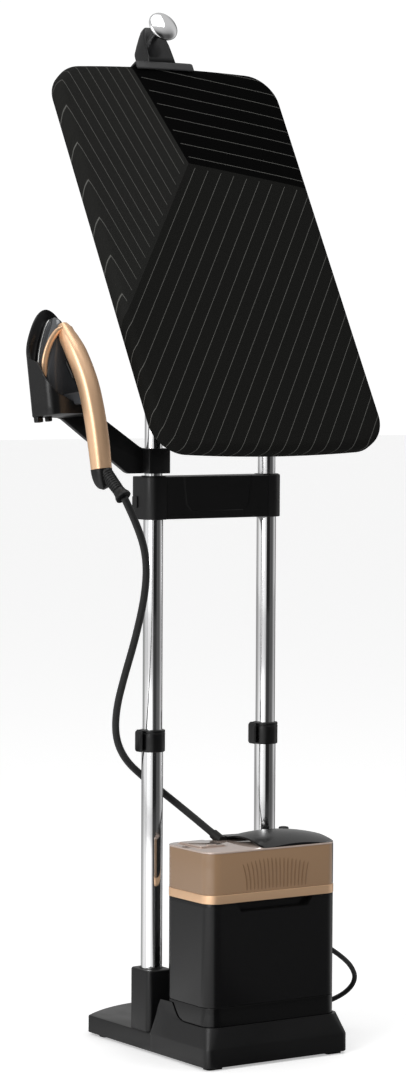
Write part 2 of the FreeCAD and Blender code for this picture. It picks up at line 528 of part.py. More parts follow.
keep(park(cut("handle_grip", grip_solid, nose_room)))
cap_cone = add("Part::Cone", "cap_cone")
bind(cap_cone, Radius1="10.5", Radius2="15.4", Height="28", Placement__Base__y="-61",
     Placement__Base__z="-119.8")
keep(park(cut("end_cap", cap_cone, grip_solid)))
boot_turn = Rotation(Vector(1, 0, 0), 180 - math.degrees(math.atan2(0.61, 0.79)))
boot = []
for label, low, long, wide, narrow in (("boot_cone", 0, 1, 8.5, 7), ("boot_ring", 0.84, 0.16, 12, 12)):
    piece = add("Part::Cone", label)
    piece.Placement = Placement(Vector(), boot_turn)
    reach = SIZES["boot_long"] * low
    bind(piece, Height="boot_long*%s" % long, Radius1=wide, Radius2=narrow,
         Placement__Base__y="-(69+0.61*%s)" % reach, Placement__Base__z="-94-0.79*%s" % reach)
    boot.append(piece)
keep(park(cut("hose_boot", join("boot_mass", *boot), cap_cone, grip_solid)))
trigger = add("Part::Box", "trigger_bar")
trigger.Placement = Placement(Vector(), Rotation(Vector(1, 0, 0), -21.8))
bind(trigger, Length="13", Width="6", Height="36", Placement__Base__x="-6.5", Placement__Base__y="-30",
     Placement__Base__z="50")
keep(park(group("steam_trigger", trigger)))

# --- hose, mains cord, their outlets and the plug -----------------------------------------------

def flexible(label, points, radius):
    """A round tube along straight runs joined by arcs that take 0.45 of the shorter run beside them."""
    points = [Vector(*p) for p in points]
    edges = []
    here = points[0]
    bends = []
    for before, corner, after in zip(points, points[1:], points[2:]):
        into, out = corner - before, after - corner
        reach = 0.45 * min(into.Length, out.Length)
        turn = into.getAngle(out)
        bends.append(reach / math.tan(turn / 2))
        first = corner - Vector(into).normalize() * reach
        last = corner + Vector(out).normalize() * reach
        chord = Vector(out).normalize() - Vector(into).normalize()
        middle = corner + chord.normalize() * (reach / math.sin(turn / 2 + 1e-12)
                                               * (1 / math.cos(turn / 2) - 1) * math.cos(turn / 2))
        edges.append(Part.LineSegment(here, first).toShape())
        edges.append(Part.Arc(first, middle, last).toShape())
        here = last
    edges.append(Part.LineSegment(here, points[-1]).toShape())
    path = Part.Wire(edges)
    ring = Part.Wire(Part.Circle(points[0], points[1] - points[0], radius).toShape())
    obj = add("Part::Feature", label)
    obj.Shape = path.makePipeShell([ring], True, False)
    print(label, "length %.0f" % path.Length, "tightest bend %.0f" % min(bends), "volume ratio %.3f"
          % (obj.Shape.Volume / (math.pi * radius ** 2 * path.Length)))
    return keep(obj)


HOSE = [(-257.3, -150.9, 875.2), (-235.1, -150.5, 837), (-208, -137, 786), (-193, -111, 728),
        (-190, -78, 655), (-191, -48, 594), (-186, -17, 540), (-167, 14, 492), (-135, 36, 454),
        (-98, 43, 425), (-68, 33, 400), (-50, 4, 377), (-39, -30, 357), (-31.5, -59.5, 341)]
hose_radius = SIZES["hose_rad"]
steam_hose = flexible("steam_hose", HOSE, hose_radius)
outlet = add("Part::Cylinder", "outlet_nozzle")
mouth, before_mouth = Vector(*HOSE[-1]), Vector(*HOSE[-2])
outlet.Placement = Placement(mouth, Rotation(Vector(0, 0, 1), mouth - before_mouth))
bind(outlet, Radius="hose_rad+2", Height="26")
keep(cut("hose_outlet", outlet, box("outlet_room", ("-150", "150"), ("-200", "100"), ("200", "column_top")),
         box("outlet_front", ("-150", "150"), ("-200", "-gen_rear-column_deep+0.3"), ("200", "400"))))

CORD = [(136, -80, 158), (166, -78, 153), (199, -71, 139), (229, -61, 113), (240, -48, 80),
        (225, -32, 50), (200, -12, 27), (180, 16, 12), (170, 52, 4.7), (168, 96, 4.4), (172, 140, 4.4),
        (180, 184, 4.4), (185, 225, 4.4)]
cord_radius = SIZES["cord_rad"]
flexible("mains_cord", CORD, cord_radius)
gland = add("Part::Cone", "gland_cone")
gland.Placement = Placement(Vector(), TURNS["x"])
bind(gland, Radius1="9", Radius2="6.5", Height="135.2-gen_half", Placement__Base__x="gen_half",
     Placement__Base__y="-80", Placement__Base__z="158")
keep(group("cord_gland", gland))
# the rest of the cord is wound in a ring of turns behind the base, with its two tails leaving at a tangent
COIL = Vector(132, 262, 0)
ring_outer = rod("coil_outer", "57", (COIL.x, COIL.y, "0.2"), "16")
ring_inner = rod("coil_inner", "41", (COIL.x, COIL.y, "-1"), "20")
stub_in = rod("coil_tail_in", "cord_rad", ("185", "225", "4.4"), "37", "y")
stub_out = rod("coil_tail_out", "cord_rad", ("185", COIL.y, "4.4"), "34", "y")
keep(join("cord_coil", cut("coil_ring", ring_outer, ring_inner), stub_in, stub_out))
keep(join("mains_plug", prism("plug_body", ("172", "198"), (COIL.y + 48, COIL.y + 74), ("0.3", "24"), "6"),
          rod("plug_neck", "6", ("185", COIL.y + 34, "6.5"), "15", "y"),
          rod("plug_live", "2.4", ("175.5", COIL.y + 73, "12"), "20", "y"),
          rod("plug_neutral", "2.4", ("194.5", COIL.y + 73, "12"), "20", "y")))

# --- check and write ----------------------------------------------------------------------------

doc.recompute()
faults = [o.Label for o in doc.Objects if "Invalid" in o.State or "Error" in o.State]
for node in nodes:
    if node.Shape.isNull() or not node.Shape.isValid() or not node.Shape.Solids:
        faults.append(node.Label + " (shape)")
if faults:
    raise RuntimeError("not built: " + ", ".join(faults))
os.makedirs("parts", exist_ok=True)
for node in nodes:
    node.Shape.exportStep("parts/%s.step" % node.Label)
print(len(nodes), "nodes")
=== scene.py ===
import math

import bpy
import numpy as np
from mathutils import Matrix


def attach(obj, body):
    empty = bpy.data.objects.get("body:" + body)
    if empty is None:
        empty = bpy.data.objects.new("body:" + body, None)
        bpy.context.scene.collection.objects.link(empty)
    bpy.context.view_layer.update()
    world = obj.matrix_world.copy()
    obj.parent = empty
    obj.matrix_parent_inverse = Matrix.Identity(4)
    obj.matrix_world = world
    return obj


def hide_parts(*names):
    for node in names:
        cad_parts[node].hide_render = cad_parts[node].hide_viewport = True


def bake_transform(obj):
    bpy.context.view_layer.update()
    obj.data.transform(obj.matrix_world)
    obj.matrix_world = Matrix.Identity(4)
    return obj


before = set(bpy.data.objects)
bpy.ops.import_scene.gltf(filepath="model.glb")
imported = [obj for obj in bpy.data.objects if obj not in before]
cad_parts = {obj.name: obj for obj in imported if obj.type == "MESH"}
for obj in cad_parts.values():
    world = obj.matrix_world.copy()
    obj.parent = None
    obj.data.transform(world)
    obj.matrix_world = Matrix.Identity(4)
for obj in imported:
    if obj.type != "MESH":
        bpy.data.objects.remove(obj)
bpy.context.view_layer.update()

# The camera stands 5.4 m off, in front and to the left, a little above the middle of the board.
# It is level to within a few degrees, and a long lens keeps the two posts nearly parallel.
scene = bpy.context.scene
azimuth, dip, roll = np.radians([33.88, 3.206, 0.283])
ahead = np.array([math.sin(azimuth) * math.cos(dip), math.cos(azimuth) * math.cos(dip), -math.sin(dip)])
level = np.array([math.cos(azimuth), -math.sin(azimuth), 0])
upward = np.cross(level, ahead)
sideways = level * math.cos(roll) + upward * math.sin(roll)
upward = np.cross(sideways, ahead)
camera = bpy.data.objects.new("camera", bpy.data.cameras.new("camera"))
scene.collection.objects.link(camera)
camera.data.sensor_fit = "VERTICAL"
camera.data.sensor_height = 36
camera.data.lens = 114.33
camera.data.shift_y = -0.0017
stand = np.eye(4)
stand[:3] = np.stack([sideways, upward, -ahead, (-3.0206, -4.4779, 1.1032)], -1)
camera.matrix_world = stand.T
scene.camera = camera

# The studio is a white floor that runs into a white surround, with a large soft light on the left, a
# weaker one on the right and one overhead. What the surround shows in reflections changes with the
# direction: a dark wall in front and two dimmer sides give the bright tubes their dark streaks.
def add(tree, kind, sockets=None, **settings):
    """One shader node. Sockets take a number or colour, or another node's output; gives its outputs."""
    made = tree.nodes.new("ShaderNode" + kind)
    for key, value in settings.items():
        setattr(made, key, value)
    for key, value in (sockets or {}).items():
        if isinstance(value, bpy.types.NodeSocket):
            tree.links.new(value, made.inputs[key])
        else:
            made.inputs[key].default_value = value
    return made.outputs


def mix(tree, factor, first, second, **settings):
    """A colour between two colours, by a factor of 0 to 1."""
    return add(tree, "Mix", {"Factor": factor, "A": first, "B": second}, data_type="RGBA", **settings)[2]


def effect(name, inputs, outputs):
    """An empty shader group with named inputs and outputs, and its two end nodes."""
    tree = bpy.data.node_groups.new(name, "ShaderNodeTree")
    for way, rows in (("INPUT", inputs), ("OUTPUT", outputs)):
        for socket, kind in rows:
            tree.interface.new_socket(name=socket, in_out=way, socket_type="NodeSocket" + kind)
    return tree, tree.nodes.new("NodeGroupInput").outputs, tree.nodes.new("NodeGroupOutput").inputs


studio = bpy.data.worlds.new("studio")
studio.use_nodes = True
scene.world = studio
sky = studio.node_tree
backdrop = sky.nodes["Background"]
backdrop.inputs["Color"].default_value = (1, 1, 1, 1)
backdrop.inputs["Strength"].default_value = 1.05
surround, given, result = effect("surround", [("Direction", "Vector")], [("Colour", "Color")])
east, north, height = add(surround, "SeparateXYZ", {0: given["Direction"]})
bearing = add(surround, "Math", {0: north, 1: east}, operation="ARCTAN2")[0]
bearing = add(surround, "MapRange", {0: bearing, 1: -math.pi, 2: math.pi})[0]
wall = surround.nodes.new("ShaderNodeValToRGB")
surround.links.new(bearing, wall.inputs[0])
for degrees, bright in ((-180, 1.5), (-150, 1.4), (-124, 0.9), (-116, 0.02), (-84, 0.02), (-72, 0.12),
                        (-50, 0.10),
                        (-34, 0.25), (-15, 0.8), (5, 0.7), (14, 0.1), (30, 0.1), (40, 0.6), (100, 0.5),
                        (118, 0.5),
                        (150, 1.2), (180, 1.5)):
    stop = wall.color_ramp.elements.new((degrees + 180) / 360)
    stop.color = (bright, bright, bright, 1)
wall.color_ramp.elements.remove(wall.color_ramp.elements[0])
overhead = add(surround, "MapRange", {0: height, 1: 0.3, 2: 0.75}, interpolation_type="SMOOTHSTEP")[0]
above = mix(surround, overhead, wall.outputs[0], (0.75, 0.75, 0.75, 1))
surround.links.new(above, result["Colour"])
far_off = sky.nodes.new("ShaderNodeGroup")
far_off.node_tree = surround
sky.links.new(add(sky, "TexCoord")["Generated"], far_off.inputs["Direction"])
around_it = add(sky, "Background", {"Color": far_off.outputs["Colour"], "Strength": 0.8})[0]
camera_ray = add(sky, "LightPath")["Is Camera Ray"]
shown = add(sky, "MixShader", {0: camera_ray, 1: around_it, 2: backdrop.outputs[0]})[0]
sky.links.new(shown, sky.nodes["World Output"].inputs["Surface"])
scene.view_settings.view_transform = "Standard"


def card(name, middle, size, aim, strength):
    """A flat rectangular soft light that faces a point."""
    lamp = bpy.data.lights.new(name, "AREA")
    lamp.shape = "RECTANGLE"
    lamp.size, lamp.size_y = size
    lamp.energy = strength
    thing = bpy.data.objects.new(name, lamp)
    thing.visible_glossy = name != "fill_light"
    scene.collection.objects.link(thing)
    back = np.array(middle, float) - aim
    back /= np.linalg.norm(back)
    across = np.cross((0, 0, 1) if abs(back[2]) < 0.9 else (0, 1, 0), back)
    across /= np.linalg.norm(across)
    place = np.eye(4)
    place[:3] = np.stack([across, np.cross(back, across), back, middle], -1)
    thing.matrix_world = place.T


card("key_light", (-3.6, -1.6, 2.4), (1.6, 3.0), (0, 0, 0.8), 60)
card("fill_light", (2.6, -3.6, 1.6), (0.8, 2.6), (0, 0, 0.8), 10)
card("top_light", (0.3, -0.6, 4.2), (2.4, 2.4), (0, 0, 0.4), 34)
ground = bpy.data.meshes.new("floor")
ground.from_pydata([(-30, -30, 0), (30, -30, 0), (30, 30, 0), (-30, 30, 0)], [], [(0, 1, 2, 3)])
pale = bpy.data.materials.new("floor")
pale.use_nodes = True
whiting = pale.node_tree
pale_shader = whiting.nodes["Principled BSDF"].inputs
pale_shader["Roughness"].default_value = 0.6
ray = add(whiting, "LightPath")
glow = add(whiting, "Math", {0: ray["Is Camera Ray"], 1: 0.4}, operation="MULTIPLY")[0]
whiting.links.new(glow, pale_shader["Emission Strength"])
pale_shader["Emission Color"].default_value = (1, 1, 1, 1)
mirrored = whiting.nodes.new("ShaderNodeGroup")
mirrored.node_tree = surround
whiting.links.new(add(whiting, "TexCoord")["Object"], mirrored.inputs["Direction"])
shown_pale = mix(whiting, ray["Is Glossy Ray"], (0.93, 0.93, 0.93, 1), mirrored.outputs["Colour"])
whiting.links.new(shown_pale, pale_shader["Base Color"])
ground.materials.append(pale)
floor = bpy.data.objects.new("floor", ground)
scene.collection.objects.link(floor)

# Base: one moulding in satin black plastic, open below. A low slab bows out at the back, a sloping
# skirt rises round the generator and highest in front of the two sockets that take the posts.
# The section also holds the tools that most moulded pieces are made with. Sizes are in millimetres.
BLACK = (0.0053, 0.0053, 0.0055)
POST_X = 107.5
# moulded skin: a fine spark-eroded grain, hand smudges that change the gloss, and dust on what faces up
skin, given, result = effect(
    "moulded_skin", [("Colour", "Color"), ("Gloss Loss", "Float"), ("Smudge", "Float"), ("Grain", "Float"),
                     ("Dust", "Float")], [("Colour", "Color"), ("Roughness", "Float"), ("Height", "Float")])
spot = add(skin, "TexCoord")["Object"]
grain = add(skin, "TexNoise", {"Vector": spot, "Scale": given["Grain"], "Detail": 3, "Roughness": 0.6})[0]
smear = add(skin, "TexNoise", {"Vector": spot, "Scale": 11, "Detail": 4, "Distortion": 0.7})[0]
smear = add(skin, "MapRange", {"Value": smear, "From Min": 0.35, "From Max": 0.7, "To Min": -0.5,
                               "To Max": 0.5})[0]
facing = add(skin, "SeparateXYZ", {"Vector": add(skin, "NewGeometry")["Normal"]})["Z"]
lying = add(skin, "MapRange", {"Value": facing, "From Min": 0.55, "From Max": 1.0, "To Min": 0,
                               "To Max": 1})[0]
flecks = add(skin, "TexNoise", {"Vector": spot, "Scale": 420, "Detail": 5, "Roughness": 0.75})[0]
flecks = add(skin, "MapRange", {"Value": flecks, "From Min": 0.5, "From Max": 0.72, "To Min": 0.25,
                                "To Max": 1})[0]
cover = add(skin, "Math", {0: lying, 1: flecks}, operation="MULTIPLY")[0]
cover = add(skin, "Math", {0: cover, 1: given["Dust"]}, operation="MULTIPLY")[0]
skin.links.new(mix(skin, cover, given["Colour"], (0.30, 0.29, 0.27, 1)), result["Colour"])
change = add(skin, "Math", {0: smear, 1: given["Smudge"]}, operation="MULTIPLY")[0]
change = add(skin, "Math", {0: change, 1: given["Gloss Loss"]}, operation="ADD")[0]
change = add(skin, "Math", {0: cover, 1: 0.5, 2: change}, operation="MULTIPLY_ADD")[0]
skin.links.new(change, result["Roughness"])
skin.links.new(grain, result["Height"])


def moulded(name, colour, roughness, smudge=0.08, grain=900, depth=0.05, dust=0.10, **sockets):
    """Moulded or painted stock: the moulded skin over one colour, with grain of that depth in mm."""
    stock = bpy.data.materials.new(name)
    stock.use_nodes = True
    tree = stock.node_tree
    shader = tree.nodes["Principled BSDF"]
    over = tree.nodes.new("ShaderNodeGroup")
    over.node_tree = skin
    for key, value in (("Colour", (*colour, 1)), ("Gloss Loss", roughness), ("Smudge", smudge),
                       ("Grain", grain),
                       ("Dust", dust)):
        over.inputs[key].default_value = value
    shader.inputs["Specular IOR Level"].default_value = 0.35
    tree.links.new(over.outputs["Colour"], shader.inputs["Base Color"])
    tree.links.new(over.outputs["Roughness"], shader.inputs["Roughness"])
    bump = add(tree, "Bump", {"Height": over.outputs["Height"], "Strength": 0.35,
                              "Distance": depth / 1000})[0]
    tree.links.new(bump, shader.inputs["Normal"])
    for key, value in sockets.items():
        shader.inputs[key.replace("_", " ")].default_value = value
    return stock


def ring(half_x, half_y, corner, centre=(0, 0), steps=8, extra=0):
    """Points round a rectangle: four quarter circles of the corner radius, with extra points on each side."""
    turn = np.radians(np.tile(np.linspace(0, 90, steps), 4) + np.repeat([0, 90, 180, 270], steps))
    x = centre[0] + np.repeat([1, -1, -1, 1], steps) * (half_x - corner) + corner * np.cos(turn)
    y = centre[1] + np.repeat([1, 1, -1, -1], steps) * (half_y - corner) + corner * np.sin(turn)
    points = np.stack([x, y], -1)
    if extra:
        one = np.concatenate([np.arange(steps - 1), steps - 1 + np.arange(extra + 1) / (extra + 1)])
        spots = (one + steps * np.arange(4)[:, None]).ravel()
        low = np.floor(spots).astype(int)
        part = (spots - low)[:, None]
        points = points[low] * (1 - part) + points[(low + 1) % len(points)] * part
    return points


def grow(points, amount):
    """Moves each point of a closed outline out along the mean of its two edges' normals, mitred."""
    before = points - np.roll(points, 1, 0)
    after = np.roll(points, -1, 0) - points
    normals = []
    for edge in (before, after):
        length = np.maximum(np.linalg.norm(edge, axis=1, keepdims=True), 1e-9)
        normals.append(np.stack([edge[:, 1], -edge[:, 0]], -1) / length)
    mean = normals[0] + normals[1]
    mean /= np.maximum((mean ** 2).sum(1, keepdims=True) / 2, 0.35)
    return points + mean * amount


def eased(low, high, edge, foot=None, steps=4):
    """(inset, height) pairs up a wall whose lower and upper edges are quarter circles."""
    foot = edge if foot is None else foot
    turn = np.radians(np.linspace(0, 90, steps))
    up = np.stack([foot * (1 - np.sin(turn)), low + foot * (1 - np.cos(turn))], -1)
    over = np.stack([edge * (1 - np.cos(turn)), high - edge * (1 - np.sin(turn))], -1)
    return np.concatenate([up, over])


def prism(points, low, high, edge, foot=None, steps=4):
    """An outline carried from low to high, drawn in at both ends by the rounding of the edges."""
    rows = [np.c_[grow(points, -inset), np.full(len(points), height)]
            for inset, height in eased(low, high, edge, foot, steps)]
    return np.array(rows)


def sleeve(outer, inner, low, high, edge):
    """A wall between two outlines of as many points: up the outer one, over, and down the inner one."""
    outside = prism(outer, low, high, edge)
    inside = prism(inner, low, high, 0.01)[[-1, 0]]
    inside[0, :, :2] = grow(inner, edge * 0.6)
    middle = inside[:1].copy()
    middle[0, :, :2] = inner
    middle[..., 2] -= edge * 0.6
    return np.concatenate([outside, inside[:1], middle, inside[1:], outside[:1]])


def solid(name, grids, body, look, *nodes, slot=None, turn=None, shift=(0, 0, 0), sharp=32, uv=None):
    """A piece of closed surfaces that stands for the given nodes, for none where a slot is given, or else
    for the node it is named after. Each grid is rings of points in mm: rings are joined by four-sided
    faces, and the first and last ring are filled, or joined where the last repeats the first."""
    stands_for = nodes or (() if slot else (name.removesuffix("_v"),))
    points, quads, caps, start = [], [], [], 0
    for grid in grids:
        loop = np.allclose(grid[0], grid[-1])
        grid = grid[:-1] if loop else grid
        index = start + np.arange(grid.shape[0] * grid.shape[1]).reshape(grid.shape[:2])
        near, far = (index, np.roll(index, -1, 0)) if loop else (index[:-1], index[1:])
        faces = np.stack([near, np.roll(near, -1, 1), np.roll(far, -1, 1), far], -1).reshape(-1, 4)
        flat = grid.reshape(-1, 3) - grid.reshape(-1, 3).mean(0)
        corner = flat[faces - start]
        inside = np.einsum("ij,ij->", corner[:, 0], np.cross(corner[:, 1], corner[:, 2]))
        inside += np.einsum("ij,ij->", corner[:, 0], np.cross(corner[:, 2], corner[:, 3]))
        ends = [] if loop else [index[0][::-1], index[-1]]
        for end in ends:
            rim = flat[end - start]
            inside += np.einsum("ij,ij->", np.broadcast_to(rim[0], rim[1:-1].shape),
                                np.cross(rim[1:-1], rim[2:]))
        quads.append(faces[:, ::-1] if inside < 0 else faces)
        caps += [end[::-1] if inside < 0 else end for end in ends]
        points.append(grid.reshape(-1, 3))
        start += len(points[-1])
    points = np.concatenate(points)
    if turn is not None:
        points = points @ np.array(turn).T
    points = (points + shift) / 1000
    mesh = bpy.data.meshes.new(name)
    mesh.from_pydata(points.tolist(), [], np.concatenate(quads).tolist() + [end.tolist() for end in caps])
    mesh.polygons.foreach_set("use_smooth", np.ones(len(mesh.polygons), bool))
    if uv is not None:
        layer = mesh.uv_layers.new(name="cloth")
        corner = np.empty(len(mesh.loops), int)
        mesh.loops.foreach_get("vertex_index", corner)
        layer.data.foreach_set("uv", uv.reshape(-1, 2)[corner].ravel())
    mesh.set_sharp_from_angle(angle=math.radians(sharp))
    mesh.materials.append(look)
    piece = bpy.data.objects.new(name, mesh)
    scene.collection.objects.link(piece)
    if body:
        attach(piece, body)
    if stands_for:
        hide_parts(*stands_for)
    return piece


satin_black = moulded("base_satin_black", (0.0060, 0.0060, 0.0063), 0.34, smudge=0.10, grain=1500,
                      depth=0.03)
SIDES = (("left", -1), ("right", 1))
front_half = ring(133, 190, 12, (0, -7), 7)[14:]
bow = np.linspace(133, -133, 25)
bow_line = np.stack([bow, 145 + 52 - bow ** 2 * 52 / 133 ** 2], -1)
foot_line = np.concatenate([front_half, bow_line])
skirt_low = ring(133, 85.5, 12, (0, -111.5), 8, 18)
skirt_high = ring(125.5, 80.5, 22, (0, -106.5), 8, 18)
cradle = ring(122.6, 64.7, 24.5, (0, -119.3), 8, 18)
crest = np.interp(skirt_high[:, 1], [-110, -92, -80, -70, -62, -56, -52, -48, -44, -38, -32, -26],
                  [63, 64, 67, 73, 81, 88, 89.5, 79, 68, 54, 43, 36])
skirt_foot = grow(skirt_low, 0.05)
slope = [np.c_[skirt_foot, np.full(len(crest), 5)], np.c_[skirt_foot, np.full(len(crest), 31.5)]]
for up in (0.06, 0.3, 0.5, 0.7, 0.94, 1):
    slope.append(np.c_[skirt_low * (1 - up) + skirt_high * up, 32 + (crest - 32) * up])
slope += [np.c_[grow(cradle, 1), crest], np.c_[cradle, crest - 0.8], np.c_[cradle, np.full(len(crest), 5)],
          slope[0]]
base = [prism(foot_line, 4, 32, 2.2, 1.2), np.array(slope)]
for side, sign in SIDES:
    x = sign * POST_X
    socket = ring(23.5, 28, 9, (x, 0), 9)
    bore = np.stack([x + 17.05 * np.cos(np.radians(np.linspace(0, 360, 36, False))),
                     17.05 * np.sin(np.radians(np.linspace(0, 360, 36, False)))], -1)
    base.append(sleeve(socket, bore, 28, 128, 3.0))
solid("base_shell_v", base, "root", satin_black)

# Under the base: a screwed plastic cover, a cast ballast plate, six screws and five rubber feet.
# They stay as drawn, and only take their finishes.
for node, look in (
    ("base_cover", moulded("cover_plastic", BLACK, 0.5, grain=1100)),
    ("ballast_plate", moulded("cast_ballast", (0.10, 0.10, 0.10), 0.62, grain=300, depth=0.3,
                              Metallic=0.8)),
    ("base_screws", moulded("zinc_screws", (0.55, 0.55, 0.53), 0.32, grain=700, dust=0, Metallic=1)),
    ("base_feet", moulded("foot_rubber", (0.0075, 0.0075, 0.0075), 0.8, grain=700, depth=0.1)),
):
    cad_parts[node].data.materials.clear()
    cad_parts[node].data.materials.append(look)

# Posts: three chromed steel tubes slide in each other on each side, 34, 31 and 28 mm across.
# The chrome is polished along the tube, with faint lengthwise marks where the stages rub.
chrome = bpy.data.materials.new("tube_chrome")
chrome.use_nodes = True
plate = chrome.node_tree
bright = plate.nodes["Principled BSDF"]
bright.inputs["Metallic"].default_value = 1
along = add(plate, "Mapping", {"Vector": add(plate, "TexCoord")["Object"], "Scale": (1, 1, 0.012)})[0]
rub = add(plate, "TexNoise", {"Vector": along, "Scale": 1800, "Detail": 3})[0]
haze = add(plate, "TexNoise", {"Vector": add(plate, "TexCoord")["Object"], "Scale": 9, "Detail": 5})[0]
tone = add(plate, "MapRange", {"Value": haze, "From Min": 0.3, "From Max": 0.7, "To Min": 0.055,
                               "To Max": 0.11})[0]
plate.links.new(tone, bright.inputs["Roughness"])
tint = mix(plate, rub, (0.80, 0.80, 0.81, 1), (0.90, 0.90, 0.90, 1))
plate.links.new(tint, bright.inputs["Base Color"])
plate.links.new(add(plate, "Bump", {"Height": rub, "Strength": 0.12, "Distance": 0.00004})[0],
                bright.inputs["Normal"])


def circle(radius, centre=(0, 0), count=48):
    """Points evenly round a circle."""
    turn = np.linspace(0, 2 * math.pi, count, endpoint=False)
    return np.stack([centre[0] + radius * np.cos(turn), centre[1] + radius * np.sin(turn)], -1)


for side, sign in SIDES:
    x = sign * POST_X
    for stage, radius, low, high, body in (("lower", 17, 36, 500, "root"), ("mid", 15.5, 350, 896,
            "mid_stage"),
                                           ("upper", 14, 640, 1150, "upper_stage")):
        node = "%s_tube_%s" % (stage, side)
        solid(node + "_v", [sleeve(circle(radius, (x, 0)), circle(radius - 1.2, (x, 0)), low, high, 0.35)],
              body, chrome, node)

# Collars: a black ring clamps each joint of a post, lipped over the lower tube's end. A cam lever on
# the ring's left side turns on a pin between two lugs, and a flat plate closes it against the ring.
collar_black = moulded("collar_black", BLACK, 0.30, smudge=0.10, grain=1300, depth=0.02)
lever_black = moulded("lever_black", (0.0070, 0.0070, 0.0073), 0.36, grain=1300, depth=0.03)
steel = moulded("plain_steel", (0.52, 0.52, 0.51), 0.28, smudge=0.12, dust=0.02, Metallic=1)
for side, sign in SIDES:
    x, pin_x = sign * POST_X, sign * POST_X - 21.3
    band = sleeve(circle(20, (x, 0)), circle(17.02, (x, 0)), 469.5, 500, 1.6)
    lip = sleeve(circle(20, (x, 0)), circle(15.6, (x, 0)), 499, 504, 1.4)
    groove = sleeve(circle(20.25, (x, 0)), circle(17.5, (x, 0)), 497.2, 498.6, 0.5)
    lugs = [prism(np.concatenate([circle(1.9, (pin_x, 9), 24)[3:22], [(pin_x + 6, 7.2),
            (pin_x + 6, 10.8)]]), low,
                  low + 7, 0.5) for low in (469.5, 497)]
    pin = prism(circle(1, (pin_x, 9), 16), 469.5, 504, 0.2)
    solid("tube_collar_%s_v" % side, [band, lip, groove, pin] + lugs, "root", collar_black,
          "tube_collar_" + side)
    barrel = sleeve(circle(2.7, (pin_x, 9), 24), circle(1.06, (pin_x, 9), 24), 476.9, 496.6, 0.4)
    pad = prism(ring(10, 16.6, 4.5, (0, 486.75), 7), pin_x - 4.9, pin_x - 2.3, 0.9)[..., [2, 0, 1]]
    thumb = prism(ring(2.2, 12, 2, (-6.5, 486.75), 6), pin_x - 5.7, pin_x - 4.6, 0.6)[..., [2, 0, 1]]
    solid("collar_lever_%s_v" % side, [barrel, pad, thumb], "collar_lever_" + side, lever_black,
          "collar_lever_" + side)
    # push button in the back of the base socket
    key = prism(ring(10.4, 11.9, 2.5, (x, 112), 6), 25.2, 32, 1.2)[..., [0, 2, 1]]
    solid("socket_button_%s_v" % side, [key], "socket_button_" + side, lever_black, "socket_button_" + side)

# Generator: a gloss black tray and housing with a fine seam between them. The housing's front is
# notched at the top, so that fingers reach under the water tank, and a column behind carries the bridge.
gloss_black = moulded("generator_gloss_black", (0.0050, 0.0050, 0.0053), 0.22, smudge=0.07, grain=1700,
                      depth=0.012,
                      dust=0.05)
gloss_tray = moulded("tray_gloss_black", (0.0030, 0.0030, 0.0031), 0.16, smudge=0.06, grain=1700,
                     depth=0.01, dust=0.05)
OUTLINE = (122, 64.25, 24, (0, -119.25), 14)
case = ring(*OUTLINE, 1)


solid("boiler_tray_v", [prism(case, 35.5, 92.6, 0.5, 3.0)], "root", gloss_tray)
rows = []
for inset, z in [(0.9, 93), (0.3, 93.3), (0, 94), (0, 237.4), (0, 238.2), (0, 245), (0, 251.4),
                 (0.3, 252.1), (0.9, 252.3)]:
    wall = grow(case, -inset)
    front = wall[:, 1].min()
    half = 62 + 10 * np.clip((z - 238) / 14.3, 0, 1)
    deep = 12.4 if z > 237.9 else 0
    cut_x = np.array([-half - 0.5, -half + 0.5, -half + 6, -20, 20, half - 6, half - 0.5, half + 0.5])
    step = np.array([0, 1, 1, 1, 1, 1, 1, 0]) * deep
    cut_line = np.stack([cut_x, np.full(8, front) + step], -1)
    side_run = wall[(np.arange(len(wall)) < 44)]
    rest = wall[45:]
    rows.append(np.c_[np.concatenate([side_run, cut_line, rest]), np.full(len(wall) + 7, z)])
body_rows = np.array(rows)
column = prism(ring(104, 12.6, 3, (8, -67.6)), 250, 331, 1.0)
# Painted shade: a near-black matt sheet at the back of the notch, put there to darken the recess as its
# shadow would.
notch_shade_outline = np.array([(-71, 252.2), (-61.5, 238.7), (61.5, 238.7), (71, 252.2)])
solid("notch_painted_shade_v", [prism(notch_shade_outline, -170.4, -169.4, 0.2)[..., [0, 2, 1]]], "root",
      moulded("notch_painted_shade_black", (0.002, 0.002, 0.002), 0.9, Specular_IOR_Level=0.05), slot="boiler_housing")
solid("boiler_housing_v", [body_rows, column], "root", gloss_black)

# Gold band: a thin satin-anodised trim round the foot of the water tank.
# The same soft gold is on the grip: a fine brushed grain under a clear coat.
gold = moulded("satin_gold", (0.88, 0.57, 0.35), 0.36, grain=1400, depth=0.015, dust=0.03,
               Metallic=0.65, Coat_Weight=0.2, Coat_Roughness=0.25)
around = ring(122.6, 64.85, 24.6, (0, -119.25), 14)
solid("gold_band_v", [sleeve(around, grow(around, -5.5), 252.7, 266.2, 0.8)], "tank", gold)

